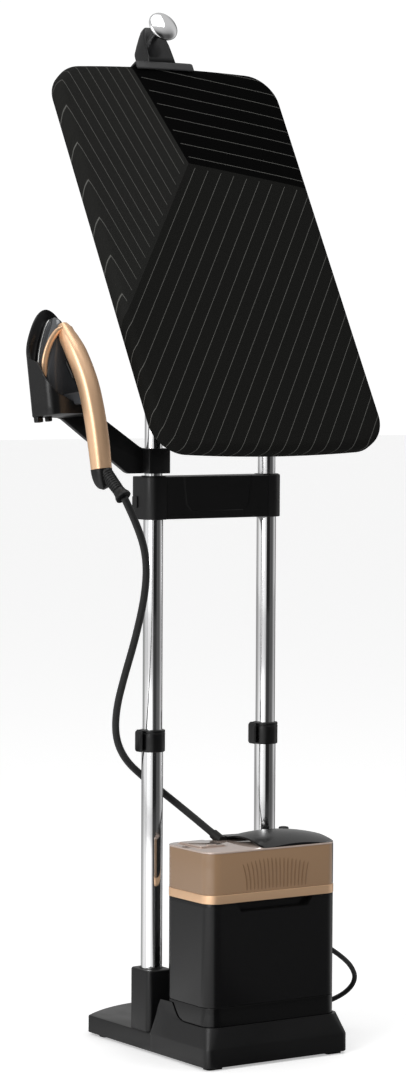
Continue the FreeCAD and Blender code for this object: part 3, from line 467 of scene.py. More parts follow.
# Water tank: smoked see-through plastic over the band. Its front carries a fan of fine upright ribs,
# and its rim is closed by a glossy lid. Behind and on the right it leaves room for column and bridge.
smoke = moulded("smoked_plastic", (0.36, 0.225, 0.13), 0.17, smudge=0.05, grain=1500, depth=0.01, dust=0.02,
                Coat_Weight=0.6, Coat_Roughness=0.05, Transmission_Weight=0.15, IOR=1.49)
keep = ring(*OUTLINE)
keep[:, 0] = np.minimum(keep[:, 0], 112)
keep[:, 1] = np.where(keep[:, 0] > -96.35, np.minimum(keep[:, 1], -80.35), keep[:, 1])
shell_wall = sleeve(keep, grow(keep, -2.5), 266.3, 330, 0.8)
tank_floor = prism(grow(keep, -2.0), 266.5, 268.9, 0.3)
ribs = []
for step in np.linspace(-1, 1, 17):
    rise = np.linspace(0, 1, 14)
    x = 2.5 + 55 * step + (7 * step - 1.5) * rise ** 2.2
    z = 268.5 + (50 - 9 * step ** 2 - 3 * step) * rise
    thick = 0.95 * np.sqrt(np.clip(1.0001 - np.abs(2 * rise - 1) ** 6, 0, 1))
    turn = np.radians(np.arange(0, 360, 45))
    ribs.append(np.stack([x[:, None] + 0.9 * thick[:, None] * np.cos(turn),
                          -183.35 - 1.3 * thick[:, None] * np.sin(turn), z[:, None] + 0 * turn], -1))
solid("water_tank_v", [shell_wall, tank_floor], "tank", smoke)
rib_look = moulded("rib_smoke", (0.20, 0.115, 0.062), 0.2, smudge=0.05, grain=1500, depth=0.01, dust=0,
                   Coat_Weight=0.4)
solid("tank_ribs_v", ribs, "tank", rib_look, slot="water_tank")
lid_look = moulded("tank_lid_gloss", (0.62, 0.49, 0.42), 0.08, smudge=0.04, grain=1700, depth=0.01,
                   dust=0.03,
                   Coat_Weight=0.8, Coat_Roughness=0.03, Metallic=0.35)
rim = prism(grow(keep, 0.4), 330.1, 332.6, 1.0, 0.2)
lid_ridge = sleeve(ring(27, 34, 6, (-81, -101)), ring(25, 32, 5, (-81, -101)), 332.2, 333.3, 0.4)
solid("tank_top_v", [rim, lid_ridge], "tank", lid_look)
flap = [prism(ring(22.8, 30.8, 4, (-81, -101)), 332.9, 335.4, 0.9, 0.3),
        prism(ring(9, 3.2, 3, (-81, -127)), 335.0, 336.6, 0.7)]
solid("fill_flap_v", flap, "fill_flap", lid_look)
pipe_black = moulded("pipe_black", BLACK, 0.45)
for node, look in (
    ("tank_coupling", pipe_black),
    ("boiler", moulded("cast_boiler", (0.55, 0.55, 0.54), 0.45, grain=420, depth=0.2, Metallic=1)),
    ("pump", moulded("pump_white", (0.55, 0.55, 0.52), 0.45)),
    ("steam_valve", moulded("valve_brass", (0.60, 0.40, 0.14), 0.3, Metallic=1)),
    ("control_board", moulded("board_green", (0.02, 0.10, 0.035), 0.4)),
    ("hose_outlet", pipe_black),
    ("holder_arm", None), ("clamp_cap", None), ("clamp_screw", steel),
    ("tilt_pin", steel),
):
    if look:
        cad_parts[node].data.materials.clear()
        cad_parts[node].data.materials.append(look)

# Bridge: a domed gloss cover over the column and the right of the tank. It ends over the tank in an
# open arch, and its right side comes down to the band. The power button stands in its top.
x = np.linspace(-18, 121.6, 30)
y = np.linspace(-182.8, -80.6, 26)
shape_x, shape_y = np.meshgrid(x, y, indexing="ij")
corner_x = np.clip((shape_x - 98) / 24, 0, 1)
shape_y = np.where(corner_x > 0, -159.5 - (-159.5 - shape_y) * np.where(shape_y < -159.5,
                   np.sqrt(np.clip(1 - corner_x ** 2, 0.02, 1)), 1), shape_y)


def dome(x, y):
    """Height of the bridge's top: a ridge that falls as a parabola both to the sides and to the front."""
    return 349 - (x - 44) ** 2 / 620 - (y + 119) ** 2 / 330


over = np.stack([shape_x, shape_y, dome(shape_x, shape_y)], -1)
under = over.copy()
under[..., 2] = np.maximum(under[..., 2] - 3, 333.1)
skin_rows = np.concatenate([over, under[:, ::-1]], 1)
side_line = case[(case[:, 0] > 112.35) & (case[:, 1] < -80.5)]
side_line = np.concatenate([side_line, [(122, -80.5), (112.35, -80.5), (112.35, side_line[0, 1])]])
cheek_rows = []
for part in (0, 0.02, 0.5, 0.97, 1):
    line = grow(side_line, -0.4 if part in (0, 1) else 0)
    top = dome(line[:, 0], line[:, 1]) - 0.6
    cheek_rows.append(np.c_[line, 266.6 + (top - 266.6) * part])
back_rows = prism(ring(101.7, 12.4, 3, (20.2, -67.9)), 331.0, 338, 2.0)
back_x = np.clip(back_rows[..., 0], -18, 122)
back_rows[..., 2] = np.where(back_rows[..., 2] > 333, dome(back_x, -80) - (338 - back_rows[..., 2]),
                             back_rows[..., 2])
back_rows[..., 0] = np.where(back_rows[..., 0] < -17.5, -17.5 + 0 * back_rows[..., 0], back_rows[..., 0])
solid("rear_bridge_v", [skin_rows, np.array(cheek_rows), back_rows], "root", gloss_black)
button = [prism(circle(8, (85, -85), 40), 337, 346.6, 1.2), sleeve(circle(5.6, (85, -85), 40),
          circle(4.9, (85, -85), 40), 346.2, 347.0, 0.2)]
solid("power_button_v", button, "power_button", lever_black)

# Crossbar: the middle stages end in a hollow black bar with a satin panel let into its front. The
# panel has a shallow sunk grip, and a latch button on each end of the bar frees the upper stages.
bar_black = moulded("crossbar_black", (0.0065, 0.0065, 0.0067), 0.32, smudge=0.10, grain=1300, depth=0.03,
                    dust=0.12)
quarter = np.radians(np.linspace(270, 180, 14))
left_end = np.stack([-107.5 + 21.5 * np.cos(quarter), 21.5 * np.sin(quarter)], -1)
rear_corner = np.radians(np.linspace(180, 90, 6))
left_rear = np.stack([-126 + 3 * np.cos(rear_corner), 25 + 3 * np.sin(rear_corner)], -1)
left = np.concatenate([[(-96.3, -15.4), (-96.3, -21.5)], left_end, left_rear])
plan = np.concatenate([left, left[::-1] * (-1, 1)])[::-1]
solid("crossbar_rear_v", [prism(plan, 833, 900, 1.4)] + [
    sleeve(circle(19.5, (sign * POST_X, 0)), circle(14.1, (sign * POST_X, 0)), 899, 901.2, 0.8) for _,
    sign in SIDES],
    "mid_stage", bar_black)
spread = np.array([-95.8, -80, -66, -65, -62.5, -60, -59.2, -50, -20, 20, 50, 59.2, 60, 62.5, 65, 66, 80,
                   95.8])
rows = []
for z, back_off in ((833.4, 1.0), (834.4, 0), (845.2, 0), (846.2, 0), (856, 0), (880, 0), (898.6, 0),
                    (899.6, 1.0)):
    half = np.interp(z, [846, 856, 900], [50, 60, 65])
    line = np.interp(spread, [-96, -62.5, 0, 62.5, 96], [-95.8, -half, 0, half, 95.8])
    sunk = (np.abs(line) < half - 0.3) * (0.9 if z > 846 else 0)
    front = np.stack([line, -21.5 + back_off + sunk, np.full(18, z)], -1)
    rear = np.stack([line[::-1], np.full(18, -15.8), np.full(18, z)], -1)
    rows.append(np.concatenate([front, rear]))
solid("crossbar_front_v", [np.array(rows)], "mid_stage",
      moulded("panel_gloss_black", (0.0055, 0.0055, 0.0056), 0.24, smudge=0.05, grain=1500, depth=0.015,
              dust=0.03))
for side, sign in SIDES:
    latch = prism(ring(6.5, 9, 2, (17.85, 860), 6), sign * 129.3 - 2.2, sign * 129.3 + 2.2, 0.9)[...,
            [2, 0, 1]]
    grips = [prism(ring(4.6, 0.6, 0.5, (17.85, z), 4), sign * 131.4 - 0.2, sign * 131.4 + 0.5, 0.2)[...,
            [2, 0, 1]]
             for z in (855, 858.3, 861.7, 865)]
    solid("height_latch_%s_v" % side, [latch] + grips, "height_latch_" + side, lever_black,
          "height_latch_" + side)

# Tilting head: a painted steel crosspiece caps both posts, and two lugs on it hold the tilt pin. The
# tilt lever turns on the pin beside the left lug and reaches out behind the board.
PIN_Z = 1164.7
paint_black = moulded("frame_paint_black", (0.0070, 0.0070, 0.0070), 0.36, grain=600, depth=0.06)


def eye_plate(middle, half, foot, reach):
    """An ear plate across X: a round eye about the pin, drawn down or back to a straight foot."""
    turn = np.radians(np.linspace(0, 180, 20))
    points = np.concatenate([np.stack([12 * np.cos(turn), 12 * np.sin(turn)], -1),
                             [(-foot, -reach), (foot, -reach)]])
    return prism(points, middle - half, middle + half, 0.8)[..., [2, 0, 1]]


head = [prism(ring(13, 12, 4, (0, 1134), 6), -95, 95, 0.5)[..., [2, 0, 1]]]
for side, sign in SIDES:
    head.append(prism(circle(18, (sign * POST_X, 0)), 1116, 1153, 2.0))
    head.append(eye_plate(sign * 60, 4, 12, 30) + (0, 0, PIN_Z))
solid("tilt_head_v", head, "upper_stage", paint_black)
arm_path = np.array([(-10, 0), (-4, -7.5), (6, -6.2), (70, -5.2), (82, -8.6), (88.5, -5), (84, 0.5),
                     (72, 5), (6, 6.5),
                     (-4, 7.5)])
lever_grid = prism(arm_path, -79, -70, 1.2)[..., [2, 0, 1]]
lever_eye = sleeve(circle(11, (0, 0)), circle(5.1, (0, 0)), -83.5, -66, 1.0)[..., [2, 0, 1]]
solid("tilt_lever_v", [lever_grid + (0, 0, PIN_Z), lever_eye + (0, 0, PIN_Z)], "tilt_lever", lever_black)

# Board: a plastic panel and a foam pad inside a taut fabric cover, which wraps round the edges and is
# drawn in behind by a hem. It is drawn upright about the pin and leant back to its angle at rest.
lean = math.radians(28.95)
tilt = np.array([(1, 0, 0), (0, math.cos(lean), math.sin(lean)), (0, -math.sin(lean), math.cos(lean))])
pin = np.array([0, 0, PIN_Z])

HALF_WIDE, HALF_TALL, MIDDLE, END_BOW = 211.5, 345.65, 60.65, 4980


def board_line(inset):
    """The board's outline at an inset: a rounded rectangle whose short ends bow out along a large arc."""
    line = ring(HALF_WIDE - inset, HALF_TALL - inset, max(52 - inset, 10), (0, MIDDLE), 14, 12)
    line[:, 1] -= (line[:, 1] - MIDDLE) / HALF_TALL * line[:, 0] ** 2 / END_BOW
    return line


turn = np.linspace(0, 1, 9)
edge = [(13 * (1 - math.sin(a)), -64.3 + 13 * (1 - math.cos(a))) for a in turn * math.pi / 2]
heel = [(6.5 * (1 - math.cos(a)), -41 + 6.5 * math.sin(a)) for a in turn[1:] * math.pi / 2]
crown = [(inset, -64.3 - 2.0 * (1 - math.exp(-(inset - 13) / 45))) for inset in (200, 165, 130, 100, 76, 56,
        40, 30, 22, 16)]
profile = crown + edge + [(0, -46)] + heel + [(12, -34.2), (20, -34.1), (27, -34.0), (30, -33.2),
        (31.5, -34.0), (30, -34.8),
                                              (12, -35.0), (7.5, -35.3), (4.4, -37.4), (2.1, -41.6),
                                              (2.1, -51.3), (3.0, -55.6), (5.6, -59.2),
                                              (9, -61.5), (14, -62.4), (200, -62.6)]
rows = []
for inset, depth in profile:
    line = board_line(inset)
    rows.append(np.stack([line[:, 0], np.full(len(line), depth), line[:, 1]], -1))
cover = np.array(rows)
count = cover.shape[1]
wave = np.sin(np.arange(count) / count * 2 * math.pi * 46)
hem_rows = slice(len(crown) + len(edge) + 1 + len(heel), len(crown) + len(edge) + 1 + len(heel) + 4)
cover[hem_rows, :, 1] += 0.5 * wave * np.array([0.3, 0.7, 1, 1])[:, None]
fold = len(crown) + 3
run = np.concatenate([[0], np.cumsum(np.linalg.norm(np.diff(cover[:, 0], axis=0), axis=1))])
past = np.clip(run - run[fold], 0, None)[:, None]
flatten = cover[..., [0, 2]].copy()
flatten[fold:] = cover[fold, :, [0, 2]].T
tangent = np.roll(cover[fold], -1, 0) - np.roll(cover[fold], 1, 0)
tangent /= np.linalg.norm(tangent, axis=1, keepdims=True)
flatten[..., 0] += past * 0.5 * np.abs(tangent[:, 0])
flatten[..., 1] += past * 0.9 * np.abs(tangent[:, 2])
cloth_uv = (flatten - (-11.4, 222.1)) / 1000

# cover cloth: tightly woven black polyester in three fields of differing black that meet in a point,
# with thin grey pinstripes in each field parallel to one of its borders
cloth = bpy.data.materials.new("cover_cloth")
cloth.use_nodes = True
weave = cloth.node_tree
shader = weave.nodes["Principled BSDF"]
flat = add(weave, "UVMap", uv_map="cloth")["UV"]
GAP, HALF_LINE = 0.0065, 0.00042


def math_node(kind, first, second, third=0.0):
    """One arithmetic step on the cloth's pattern."""
    return add(weave, "Math", {0: first, 1: second, 2: third}, operation=kind)[0]


def across(direction):
    """Distance of a point of the cloth from the line through the meeting point, to that direction."""
    return add(weave, "VectorMath", {0: flat, 1: (*direction, 0)}, operation="DOT_PRODUCT")["Value"]


def stripes(distance, pitch, phase):
    """1 on thin lines a pitch apart, the first of them that part of a pitch from the border."""
    turns = math_node("MULTIPLY_ADD", distance, 1 / pitch, 0.5 - phase)
    offset = math_node("ABSOLUTE", math_node("SUBTRACT", math_node("FRACT", turns, 0), 0.5), 0)
    return math_node("LESS_THAN", offset, HALF_LINE / pitch)


from_upper, from_right, from_lower = across((-0.9606, -0.2779)), across((0.1725, 0.9850)), across((0.8087,
        -0.5882))
in_left = math_node("MULTIPLY", math_node("GREATER_THAN", from_upper, 0), math_node("LESS_THAN", from_lower,
        0))
in_top = math_node("MULTIPLY", math_node("LESS_THAN", from_upper, 0), math_node("GREATER_THAN", from_right,
        0))
near_left = math_node("MINIMUM", from_upper, math_node("MULTIPLY", from_lower, -1))
near_top = math_node("MULTIPLY", from_upper, -1)
near_rest = math_node("MULTIPLY", from_right, -1)
left_lines = math_node("MULTIPLY", stripes(from_upper, 0.0187, 0.5), math_node("GREATER_THAN", near_left,
        GAP))
top_lines = math_node("MULTIPLY", stripes(from_right, 0.0228, 0.55), math_node("GREATER_THAN", near_top,
        GAP))
rest_lines = math_node("MULTIPLY", stripes(from_lower, 0.0213, 0.6), math_node("GREATER_THAN", near_rest,
        GAP))
left_lines = math_node("MULTIPLY", left_lines, in_left)
top_lines = math_node("MULTIPLY", top_lines, in_top)
in_rest = math_node("SUBTRACT", math_node("SUBTRACT", 1, in_left), in_top)
rest_lines = math_node("MULTIPLY", rest_lines, in_rest)
lines = math_node("ADD", math_node("ADD", left_lines, top_lines), rest_lines)
ground = mix(weave, in_left, (0.0095, 0.0095, 0.0088, 1), (0.017, 0.017, 0.016, 1))
ground = mix(weave, in_top, ground, (0.0012, 0.0012, 0.0012, 1))
threads = add(weave, "VectorMath", {0: flat, 3: 5200}, operation="SCALE")["Vector"]
across_u, across_v, _ = add(weave, "SeparateXYZ", {0: threads})
warp = math_node("MULTIPLY", math_node("SINE", across_u, 0), math_node("SINE", across_v, 0))
fuzz = add(weave, "TexNoise", {"Vector": flat, "Scale": 260, "Detail": 6, "Roughness": 0.7})[0]
shade = math_node("MULTIPLY_ADD", fuzz, 0.5, math_node("MULTIPLY_ADD", warp, 0.12, 0.75))
ground = add(weave, "Mix", {"Factor": 1.0, "A": ground, "B": add(weave, "CombineColor",
        {0: shade, 1: shade, 2: shade})[0]},
             data_type="RGBA", blend_type="MULTIPLY")[2]
ground = mix(weave, lines, ground, (0.105, 0.105, 0.098, 1))
weave.links.new(ground, shader.inputs["Base Color"])
shader.inputs["Roughness"].default_value = 0.85
shader.inputs["Specular IOR Level"].default_value = 0.03
relief = math_node("MULTIPLY_ADD", lines, 0.8, warp)
weave.links.new(add(weave, "Bump", {"Height": relief, "Strength": 0.3, "Distance": 0.00015})[0],
                shader.inputs["Normal"])
board = solid("board_cover_v", [cover], "board", cloth, turn=tilt, shift=pin, sharp=60, uv=cloth_uv)

# Inside the cover: the plastic panel with ribs moulded in its back edge, and the foam pad glued to it.
panel_grey = moulded("panel_grey", (0.03, 0.03, 0.031), 0.5)
pad_foam = moulded("pad_foam", (0.5, 0.49, 0.45), 0.9, grain=500, depth=0.4)
for node, look, outline_rows in (
    ("board_panel", panel_grey, [(200, -35), (9, -35.1), (6, -36), (3.6, -38.6), (2.6, -42), (2.6, -44.6),
                                 (3, -45), (200, -45)]),
    ("foam_pad", pad_foam, [(200, -45.1), (3, -45.1), (2.5, -45.6), (2.5, -51.3), (3.4, -55.4),
                            (5.9, -58.9), (9.3, -61.2),
                            (14, -62.1), (200, -62.2)])):
    rows = [np.insert(board_line(inset), 1, depth, axis=1) for inset, depth in outline_rows]
    solid(node + "_v", [np.array(rows)], "board", look, node, turn=tilt, shift=pin)

# Tilt bracket: a steel plate screwed to the panel's back, with two ears that turn on the pin.
plate_grid = prism(ring(75, 45, 8, (0, 0)), -34.9, -31.5, 0.8)[..., [0, 2, 1]]
ears = [plate_grid]
for side, sign in SIDES:
    ears.append(prism(np.array([(-33.5, -26), (-33.5, 26), (0, 12), (6, 10.4), (10.4, 6), (12, 0),
                                (10.4, -6), (6, -10.4),
                                (0, -12)])[::-1], sign * 50 - 3, sign * 50 + 3, 0.7)[..., [2, 0, 1]])
    for up in (-33, 33):
        ears.append((prism(circle(4.5, (sign * 64, up), 24), -31.6, -29.2, 0.9))[..., [0, 2, 1]])
solid("tilt_bracket_v", ears, "board", paint_black, turn=tilt, shift=pin)

# Hanger hook: a plastic clip grips the board's top edge and carries a wedge block, and a chromed knob
# with a short stem stands out of the block's front to take a clothes hanger.
hook_grey = moulded("hook_grey", (0.030, 0.030, 0.031), 0.38, grain=1200, depth=0.03)
hook_dark = moulded("hook_block_black", (0.0060, 0.0060, 0.0063), 0.30, grain=1200, depth=0.02)
top = 406.3
clip_line = ring(54, 18.6, 4, (0, -49.3), 7, 3)
roof = prism(clip_line, top + 0.4, top + 4.2, 1.2)
arc = roof[..., 0] ** 2 / END_BOW
roof[..., 2] -= arc
lip_line = ring(54, 6.8, 3, (0, top - 3.2), 6, 8)
lip = prism(lip_line, -68.2, -64.9, 1.2)[..., [0, 2, 1]]
lip[..., 2] -= lip[..., 0] ** 2 / END_BOW
heel_line = ring(54, 16.5, 3, (0, top - 12.5), 6, 8)
heel_grid = prism(heel_line, -34, -31, 0.8)[..., [0, 2, 1]]
heel_grid[..., 2] -= heel_grid[..., 0] ** 2 / END_BOW
solid("hook_clip_v", [roof, lip, heel_grid], "board", hook_grey, turn=tilt, shift=pin)
rows = []
for z, half_x, half_y, mid_y in ((3, 25.2, 17.7, -50.5), (4, 26, 18.5, -50.5), (12, 25.6, 18.5, -50.5),
                                 (35, 24, 18.5, -50.5),
                                 (38, 23.6, 18, -50.8), (48, 21.4, 14.2, -54.8), (58, 18.6, 10.2, -58.8),
                                 (65, 16, 7.4, -61.6),
                                 (67.5, 14, 6.4, -62)):
    rows.append(np.c_[ring(half_x, half_y, 3.2, (-3.5, mid_y), 7), np.full(28, top + z)])
solid("hook_block_v", [np.array(rows)], "board", hook_dark, turn=tilt, shift=pin, sharp=50)
knob_chrome = chrome.copy()
knob_chrome.name = "knob_chrome"
knob_profile = [(6.2, -62.5), (6.2, -90), (7, -93.5), (11, -95.4), (21, -96.4), (25.1, -97.6),
                (25.8, -99.4), (25.1, -101.2),
                (22.5, -103), (16, -105), (9, -106.4), (3, -106.9), (0.6, -107)]
knob = np.array([np.c_[circle(radius, (-5.5, top + 49.6), 56), np.full(56, depth)][:, [0, 2, 1]] for radius,
                 depth in knob_profile])
solid("hang_knob_v", [knob], "board", knob_chrome, turn=tilt, shift=pin, sharp=60)

# Holder: an arm on a split clamp round the left post, and a moulded pocket at its end for the steam
# head. The pocket's back rises to a rounded peak, its sides slant, and its front is scooped out low.
holder_black = moulded("holder_black", (0.0055, 0.0055, 0.0057), 0.28, grain=1300, depth=0.02, dust=0.05)
arm_black = moulded("arm_black", (0.0043, 0.0043, 0.0045), 0.36, grain=1300, depth=0.03)
arm_line = np.array([(-90, 905), (-152, 905), (-157, 907), (-272, 990), (-278, 992), (-298, 993),
                     (-300, 995), (-300, 1006),
                     (-298, 1008), (-228, 1008), (-223, 1006.5), (-133, 947), (-126, 944),
                     (-90, 944)])[::-1]
arm = prism(arm_line, 0.2, 11, 1.4)[..., [0, 2, 1]]
half_turn = np.radians(np.linspace(0, -180, 25))
front_half = np.concatenate([[(-14.4, -0.1), (-20, -0.1), (-20, -16), (-18.8, -18.8), (-16, -20), (16, -20),
                              (18.8, -18.8),
                              (20, -16), (20, -0.1), (14.4, -0.1)],
                             np.stack([14.2 * np.cos(half_turn), 14.2 * np.sin(half_turn) - 0.1],
                                      -1)[1:-1]])
clamp = prism(front_half + (-107.5, 0), 905, 944, 1.2)
solid("holder_arm_v", [arm, clamp], "holder", arm_black)
cap_rows = prism((front_half * (1, -1))[::-1] + (-107.5, 0.1), 905, 944, 1.2)
solid("clamp_cap_v", [cap_rows], "holder", arm_black)

outward, back_lean = np.radians([15, -8])
park = np.array([(math.cos(outward), -math.sin(outward), 0), (math.sin(outward), math.cos(outward), 0),
                 (0, 0, 1)]) @ \
    np.array([(1, 0, 0), (0, math.cos(back_lean), -math.sin(back_lean)), (0, math.sin(back_lean),
            math.cos(back_lean))])
seat = np.array([-288.5, -35, 996])
outer = ring(57.5, 27, 16, (-2.5, -4), 14, 26)
inner = ring(53.5, 23, 12, (-2.5, -4), 14, 26)


def rim_height(line):
    """Height of the pocket's rim: a slant along the sides, a deep scoop in front and a parabola behind."""
    slant = 56 + (line[:, 1] + 60) * 0.477
    scoop = np.interp(np.abs(line[:, 0]), [0, 20, 57], [13, 22, 38]) + 1.75 * (line[:, 1] + 31)
    slant = np.minimum(slant, scoop)
    peak = 166 - 0.0226 * line[:, 0] ** 2
    rise = np.clip((line[:, 1] - 6) / 14, 0, 1)
    rise = rise * rise * (3 - 2 * rise)
    return slant * (1 - rise) + np.maximum(peak, slant) * rise


rim = rim_height(outer)[:, None]
rows = [np.c_[grow(outer, -2.5), np.zeros(len(outer))], np.c_[grow(outer, -0.7), np.full(len(outer), 0.7)]]
for part in (0.03, 0.25, 0.5, 0.75, 0.97):
    rows.append(np.c_[outer, rim * part])
rows.append(np.c_[outer, rim - 1.6])
rows.append(np.c_[grow(outer, -0.5), rim - 0.4])
rows.append(np.c_[grow(outer, -1.6), rim])
rows.append(np.c_[grow(outer, -2.6), rim])
rows.append(np.c_[grow(inner, 0.5), rim - 0.5])
rows.append(np.c_[inner, rim - 1.8])
for part in (0.75, 0.4, 0.12):
    rows.append(np.c_[inner, 3 + (rim - 3) * part])
rows.append(np.c_[grow(inner, -1), np.full(len(inner), 3.2)])
toes = [prism(ring(6.5, 5, 2.5, (-51, 10), 5), -8, 2, 1.6), prism(ring(4.5, 4.5, 2, (-27, 12), 5), -6.5, 2,
        1.6)]
solid("holder_pocket_v", [np.array(rows)] + toes, "holder", holder_black, turn=park, shift=seat, sharp=40)

# Steam head: a pointed aluminium sole plate, a slate grey body, a smoked nose, and a bowed grip in
# satin gold that meets the body at the nose and, through a black tail, at its foot.
sole_points = np.array([(33, 8), (38, 12), (40, 20), (40, 42), (40, 64), (37.5, 80), (33, 96), (27, 112),
                        (20, 126),
                        (14, 137), (8, 145), (3.5, 149), (0, 150)])
sole_line = np.concatenate([sole_points, (sole_points * (-1, 1))[::-1][1:]])
sole = prism(sole_line, -17.1, -13.1, 0.8)[..., [0, 2, 1]] * (1, -1, 1)
solid("sole_plate_v", [sole], "steam_head", moulded("sole_aluminium", (0.62, 0.62, 0.61), 0.25, smudge=0.1,
        grain=800, depth=0.02,
      dust=0, Metallic=1), turn=park, shift=seat)
slate = moulded("body_slate", (0.050, 0.052, 0.056), 0.20, smudge=0.06, grain=1500, depth=0.015, dust=0.05)
rows = []
for forward, inset in ((-13, 1.5), (-12, 0.6), (-8, 0), (-2, 0.8), (3, 3), (6.5, 7), (8.6, 12), (9.8, 19),
                       (10.2, 27)):
    line = sole_line * (0.95, 0.98) + (0, 1)
    middle = np.array([0, 70])
    room = np.array([38, 70])
    rows.append(np.c_[middle + (line - middle) * (1 - inset / room), np.full(len(line), -forward)][:,
            [0, 2, 1]])
tail = prism(ring(13, 10, 5, (0, 23), 7), -6, 46, 1.5)[..., [0, 2, 1]] * (1, -1, 1)
solid("head_body_v", [np.array(rows), tail], "steam_head", slate, turn=park, shift=seat, sharp=40)
rows = []
for z, half_x, low, high in ((100, 27, -8, 4), (108, 26.5, -9, 5), (116, 24.2, -10, 6.5),
                             (124, 20.6, -11, 8),
                             (132, 15.8, -11.6, 9), (139, 11.4, -11.8, 9), (145, 7.2, -12, 6.5),
                             (149.5, 3.6, -12, 2),
                             (151.5, 1.0, -11, -4)):
    turn = np.linspace(0, 2 * math.pi, 36, False)
    middle, deep = (low + high) / 2, (high - low) / 2
    rows.append(np.stack([half_x * np.cos(turn), -(middle + deep * np.sin(turn)), np.full(36, z)], -1))
nose_look = moulded("nose_smoke", (0.16, 0.165, 0.17), 0.14, smudge=0.05, grain=1500, depth=0.01, dust=0.02,
                    Metallic=0.75)
solid("head_nose_v", [np.array(rows)], "steam_head", nose_look, slot="head_body", turn=park, shift=seat,
      sharp=60)


def smooth_line(points, count):
    """A curve through points: between two of them it blends the parabolas through their neighbours."""
    points = np.asarray(points, float)
    wide = np.concatenate([2 * points[:1] - points[1:2], points, 2 * points[-1:] - points[-2:-1]])
    spots = np.linspace(0, len(points) - 1, count)
    first = np.minimum(spots.astype(int), len(points) - 2)
    part = (spots - first)[:, None]
    a, b, c, d = (wide[first + k] for k in range(4))
    return b + 0.5 * part * (c - a + part * (2 * a - 5 * b + 4 * c - d + part * (3 * (b - c) + d - a)))


def sweep(path, wide, deep, across=(1, 0, 0), power=2.0, count=36):
    """A superellipse carried along a path: wide along a fixed direction, deep along the third one."""
    ahead = np.gradient(path, axis=0)
    ahead /= np.linalg.norm(ahead, axis=1, keepdims=True)
    across = np.asarray(across, float) - ahead * (ahead @ across)[:, None]
    across /= np.linalg.norm(across, axis=1, keepdims=True)
    over = np.cross(ahead, across)
    turn = np.linspace(0, 2 * math.pi, count, False)
    cosine, sine = (np.sign(f) * np.abs(f) ** (2 / power) for f in (np.cos(turn), np.sin(turn)))
    wide, deep = np.broadcast_to(wide, len(path)), np.broadcast_to(deep, len(path))
    return (path[:, None] + wide[:, None, None] * cosine[:, None] * across[:, None]
            + deep[:, None, None] * sine[:, None] * over[:, None])


grip_line = smooth_line([(0, -11, 139), (0, -19.5, 119), (0, -32, 95.5), (0, -45, 63), (0, -53.5, 31),
                         (0, -59, -13), (0, -61, -53),
                         (0, -61.3, -92)], 60)
share = np.linspace(0, 1, 60)
size = np.interp(share, [0, 0.03, 0.08, 0.16, 0.3, 0.85, 1], [0.42, 0.56, 0.70, 0.86, 0.97, 0.98, 0.93])
grip = sweep(grip_line, 17 * size, 14.3 * size, power=2.7, count=44)
flank = []
for sign in (-1, 1):
    line = smooth_line([(sign * 5, -17, 134), (sign * 15, -13, 128), (sign * 26, -9, 115),
                        (sign * 33.5, -5, 99),
                        (sign * 38.5, -2, 80), (sign * 40.5, 0, 55)], 30)
    thin = np.sqrt(np.clip(1.0004 - np.linspace(-1, 1, 30) ** 8, 0, 1))
    flank.append(sweep(line, 6.0 * thin, 3.6 * thin, across=(1, 0, 0.3), count=20))
solid("handle_grip_v", [grip] + flank, "steam_head", gold, turn=park, shift=seat, sharp=60)
cap_black = moulded("cap_black", (0.0055, 0.0055, 0.0057), 0.30, grain=1300, depth=0.02)
share = np.linspace(0, 1, 14)
cap_line = np.stack([0 * share, -61.2 - 0.8 * share, -88 - 31.5 * share], -1)
cap_size = np.sqrt(np.clip(1.002 - share ** 3.2, 0, 1)) * (1 - 0.12 * share)
cap = sweep(cap_line, 16.6 * cap_size, 14.2 * cap_size, power=2.5)
solid("end_cap_v", [cap], "steam_head", cap_black, turn=park, shift=seat, sharp=60)
trigger_line = smooth_line([(0, -13.4, 84.5), (0, -18.4, 73), (0, -23.4, 62), (0, -27, 51)], 18)
ends = np.sqrt(np.clip(1.002 - np.linspace(-1, 1, 18) ** 10, 0, 1))
solid("steam_trigger_v", [sweep(trigger_line, 6.5 * ends, 2.9 * ends, power=2.8)], "steam_trigger",
      lever_black, turn=park, shift=seat, sharp=60)

# Hose boot: a ribbed rubber sleeve round the hose where it leaves the grip, flared at its mouth.
rubber = moulded("boot_rubber", (0.0060, 0.0060, 0.0060), 0.52, smudge=0.06, grain=1000)
share = np.linspace(0, 1, 96)
boot_line = np.stack([0 * share, -(69 + 0.61 * 52 * share), -94 - 0.79 * 52 * share], -1)
boot_radius = np.interp(share, [0, 0.35, 0.72, 0.84, 0.93, 1], [10.8, 10, 9.2, 10, 12.2, 12.4])
ribbed = np.clip(np.interp(share, [0.06, 0.1, 0.7, 0.76], [0, 1, 1, 0]), 0, 1)
boot_radius = boot_radius - 1.1 * ribbed * (0.5 + 0.5 * np.sign(np.sin(share * 2 * math.pi * 13)))
outside = sweep(boot_line, boot_radius, boot_radius)
mouth = [sweep(boot_line[at:at + 2], radius, radius)[0] for at, radius in ((94, 11.6), (94, 10.6),
        (90, 9.2), (84, 6.1))]
solid("hose_boot_v", [np.concatenate([outside, np.array(mouth)])], "steam_head", rubber, turn=park,
      shift=seat,
      sharp=50)

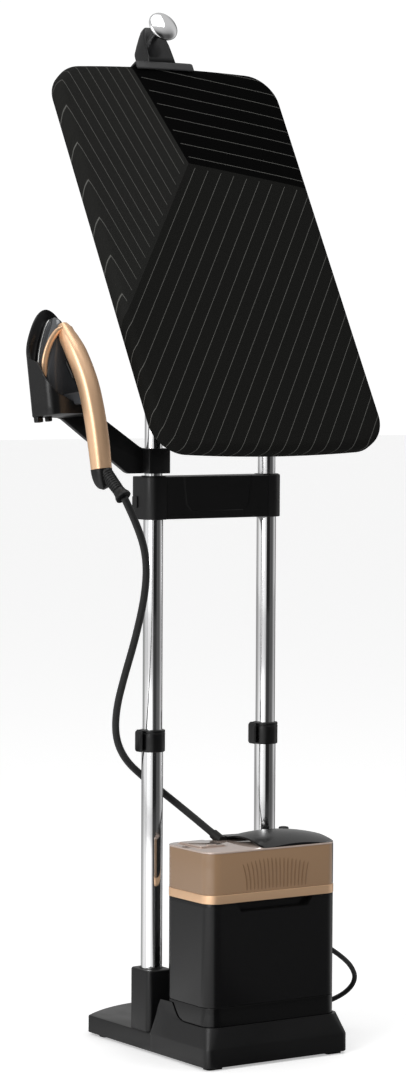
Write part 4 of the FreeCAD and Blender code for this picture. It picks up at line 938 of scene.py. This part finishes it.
# Steam hose: a rubber hose in a black textile braid, 11.5 mm across. It leaves the boot, sags past the
# left post on its outer side, and comes in behind the generator to a nozzle beside the bridge.
HOSE = [(-0.2573, -0.1509, 0.8752), (-0.2351, -0.1505, 0.837), (-0.208, -0.137, 0.786),
        (-0.193, -0.111, 0.728),
        (-0.19, -0.078, 0.655), (-0.191, -0.048, 0.594), (-0.186, -0.017, 0.54), (-0.167, 0.014, 0.492),
        (-0.135, 0.036, 0.454), (-0.098, 0.043, 0.425), (-0.068, 0.033, 0.4), (-0.05, 0.004, 0.377),
        (-0.039, -0.03, 0.357), (-0.0315, -0.0595, 0.341)]


def flexible(name, route, radius, look, reference, body, *stands_for):
    """A round tube that follows the NURBS line through its route, with UVs round and along it."""
    guide = bpy.data.curves.new(name, "CURVE")
    guide.dimensions = "3D"
    guide.resolution_u = 14
    spline = guide.splines.new("NURBS")
    spline.points.add(len(route) - 1)
    spline.points.foreach_set("co", np.c_[np.array(route), np.ones(len(route))].ravel())
    spline.order_u = 3
    spline.use_endpoint_u = True
    holder = bpy.data.objects.new(name, guide)
    line = bpy.data.meshes.new_from_object(holder)
    path = np.empty(3 * len(line.vertices))
    line.vertices.foreach_get("co", path)
    path = path.reshape(-1, 3)
    bpy.data.objects.remove(holder)
    bpy.data.meshes.remove(line)
    tube = sweep(path * 1000, radius, radius, across=reference, count=18)
    run = np.concatenate([[0], np.cumsum(np.linalg.norm(np.diff(path, axis=0), axis=1))])
    around = np.arange(18) / 18
    uv = np.stack(np.broadcast_arrays(around[None], run[:, None]), -1)
    piece = solid(name + "_v", [tube], body, look, *stands_for, sharp=60, uv=uv)
    return piece, path, run[-1]


braid = moulded("hose_braid", (0.0050, 0.0050, 0.0050), 0.62, smudge=0.05, grain=700, Sheen_Weight=0.12)
tree = braid.node_tree
shader = tree.nodes["Principled BSDF"]
lay_u, lay_v, _ = add(tree, "SeparateXYZ", {0: add(tree, "UVMap", uv_map="cloth")["UV"]})
steps = []
for sign in (1, -1):
    phase = add(tree, "Math", {0: lay_v, 1: sign * 2 * math.pi / 0.0052}, operation="MULTIPLY")[0]
    phase = add(tree, "Math", {0: lay_u, 1: 2 * math.pi * 7, 2: phase}, operation="MULTIPLY_ADD")[0]
    steps.append(add(tree, "Math", {0: add(tree, "Math", {0: phase}, operation="SINE")[0]},
                     operation="ABSOLUTE")[0])
strand = add(tree, "Math", {0: steps[0], 1: steps[1]}, operation="MAXIMUM")[0]
old = shader.inputs["Base Color"].links[0].from_socket
tint = mix(tree, strand, (0.004, 0.004, 0.004, 1), old)
tree.links.new(tint, shader.inputs["Base Color"])
tree.links.new(add(tree, "Bump", {"Height": strand, "Strength": 0.7, "Distance": 0.0005})[0],
               shader.inputs["Normal"])
hose, hose_path, hose_length = flexible("steam_hose", HOSE, 5.75, braid, (0.2, 1, 0.3), None, "steam_hose")
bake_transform(hose)

# Mains cord: a round black rubber lead, 8 mm across and 1.76 m long. It leaves a tapered gland on the
# generator's right, falls to the floor and runs back, and the rest is wound in a neat coil behind.
CORD = [(0.136, -0.08, 0.158), (0.168, -0.079, 0.151), (0.204, -0.074, 0.13), (0.237, -0.062, 0.107),
        (0.254, -0.052, 0.082), (0.242, -0.04, 0.058), (0.208, -0.018, 0.04), (0.18, 0.012, 0.018),
        (0.17, 0.052, 0.0047), (0.168, 0.096, 0.0044), (0.172, 0.14, 0.0044), (0.18, 0.184, 0.0044),
        (0.185, 0.225, 0.0044)]
COIL, LAID = (0.132, 0.262), []
for turn, (radius, height) in enumerate([(0.053, 0.0044), (0.0448, 0.0044), (0.0448, 0.0122),
                                         (0.053, 0.0122)]):
    after, higher = (0.0448, 0.0044) if turn == 0 else (0.0448, 0.0122) if turn == 1 else (0.053, 0.0122)
    for step in range(12):
        angle = 2 * math.pi * step / 12
        blend = max(0.0, (step - 8) / 4)
        reach = (radius + (after - radius) * blend) / math.cos(math.pi / 12) ** 0.5
        LAID.append((COIL[0] + reach * math.cos(angle), COIL[1] + reach * math.sin(angle),
                     height + (higher - height) * blend))
cord_rubber = moulded("cord_rubber", (0.0055, 0.0055, 0.0055), 0.45, depth=0.03, dust=0.2)
tail = [(0.185, 0.262, 0.0122), (0.185, 0.276, 0.0092), (0.185, 0.288, 0.0068), (0.185, 0.296, 0.0065)]
cord, cord_path, cord_length = flexible("mains_cord", CORD + LAID + tail, 4, cord_rubber, (0, 0, 1), "root",
                                        "mains_cord",
                                          "cord_coil")
gland_line = np.stack([np.linspace(122, 148, 40), np.full(40, -80), np.interp(np.linspace(0, 1, 40),
        [0, 0.5, 1], [158, 158, 156.2])], -1)
gland_size = np.interp(np.linspace(0, 1, 40), [0, 0.05, 0.08, 1], [9, 9, 8.2, 5.0])
gland_size = gland_size - 0.5 * (np.sin(np.linspace(0, 1,
        40) * 2 * math.pi * 6) > 0) * np.interp(np.linspace(0, 1, 40), [0.1, 0.2], [0, 1])
solid("cord_gland_v", [sweep(gland_line, gland_size, gland_size, across=(0, 1, 0), count=28)], "root",
      rubber)
plug_black = moulded("plug_black", (0.0065, 0.0065, 0.0065), 0.42, grain=1100, depth=0.04)
body = prism(ring(13, 13, 6, (185, 323), 8), 0.3, 24, 2.4)
grips = [prism(ring(0.8, 9, 0.7, (x, 323), 4), 23.6, 24.6, 0.3) for x in (179, 182, 185, 188, 191)]
neck_line = np.stack([np.full(24, 185), np.linspace(312, 296, 24), np.linspace(8.5, 6.5, 24)], -1)
neck_size = np.linspace(6.6, 4.8, 24) - 0.5 * (np.arange(24) % 4 > 1)
plug = solid("mains_plug_v", [body, sweep(neck_line, neck_size, neck_size, across=(1, 0, 0),
                                          count=24)] + grips, "root",
             plug_black)
tip = 2.4 * np.array([1, 1, 1, 1, 1, 1, 0.85, 0.5])
pins = [sweep(np.stack([np.full(8, x), np.linspace(335, 355, 8), np.full(8, 12)], -1), tip, tip,
              across=(1, 0, 0), count=20)
        for x in (175.5, 194.5)]
prongs = solid("plug_pins_v", pins, "root", steel, slot="mains_plug")
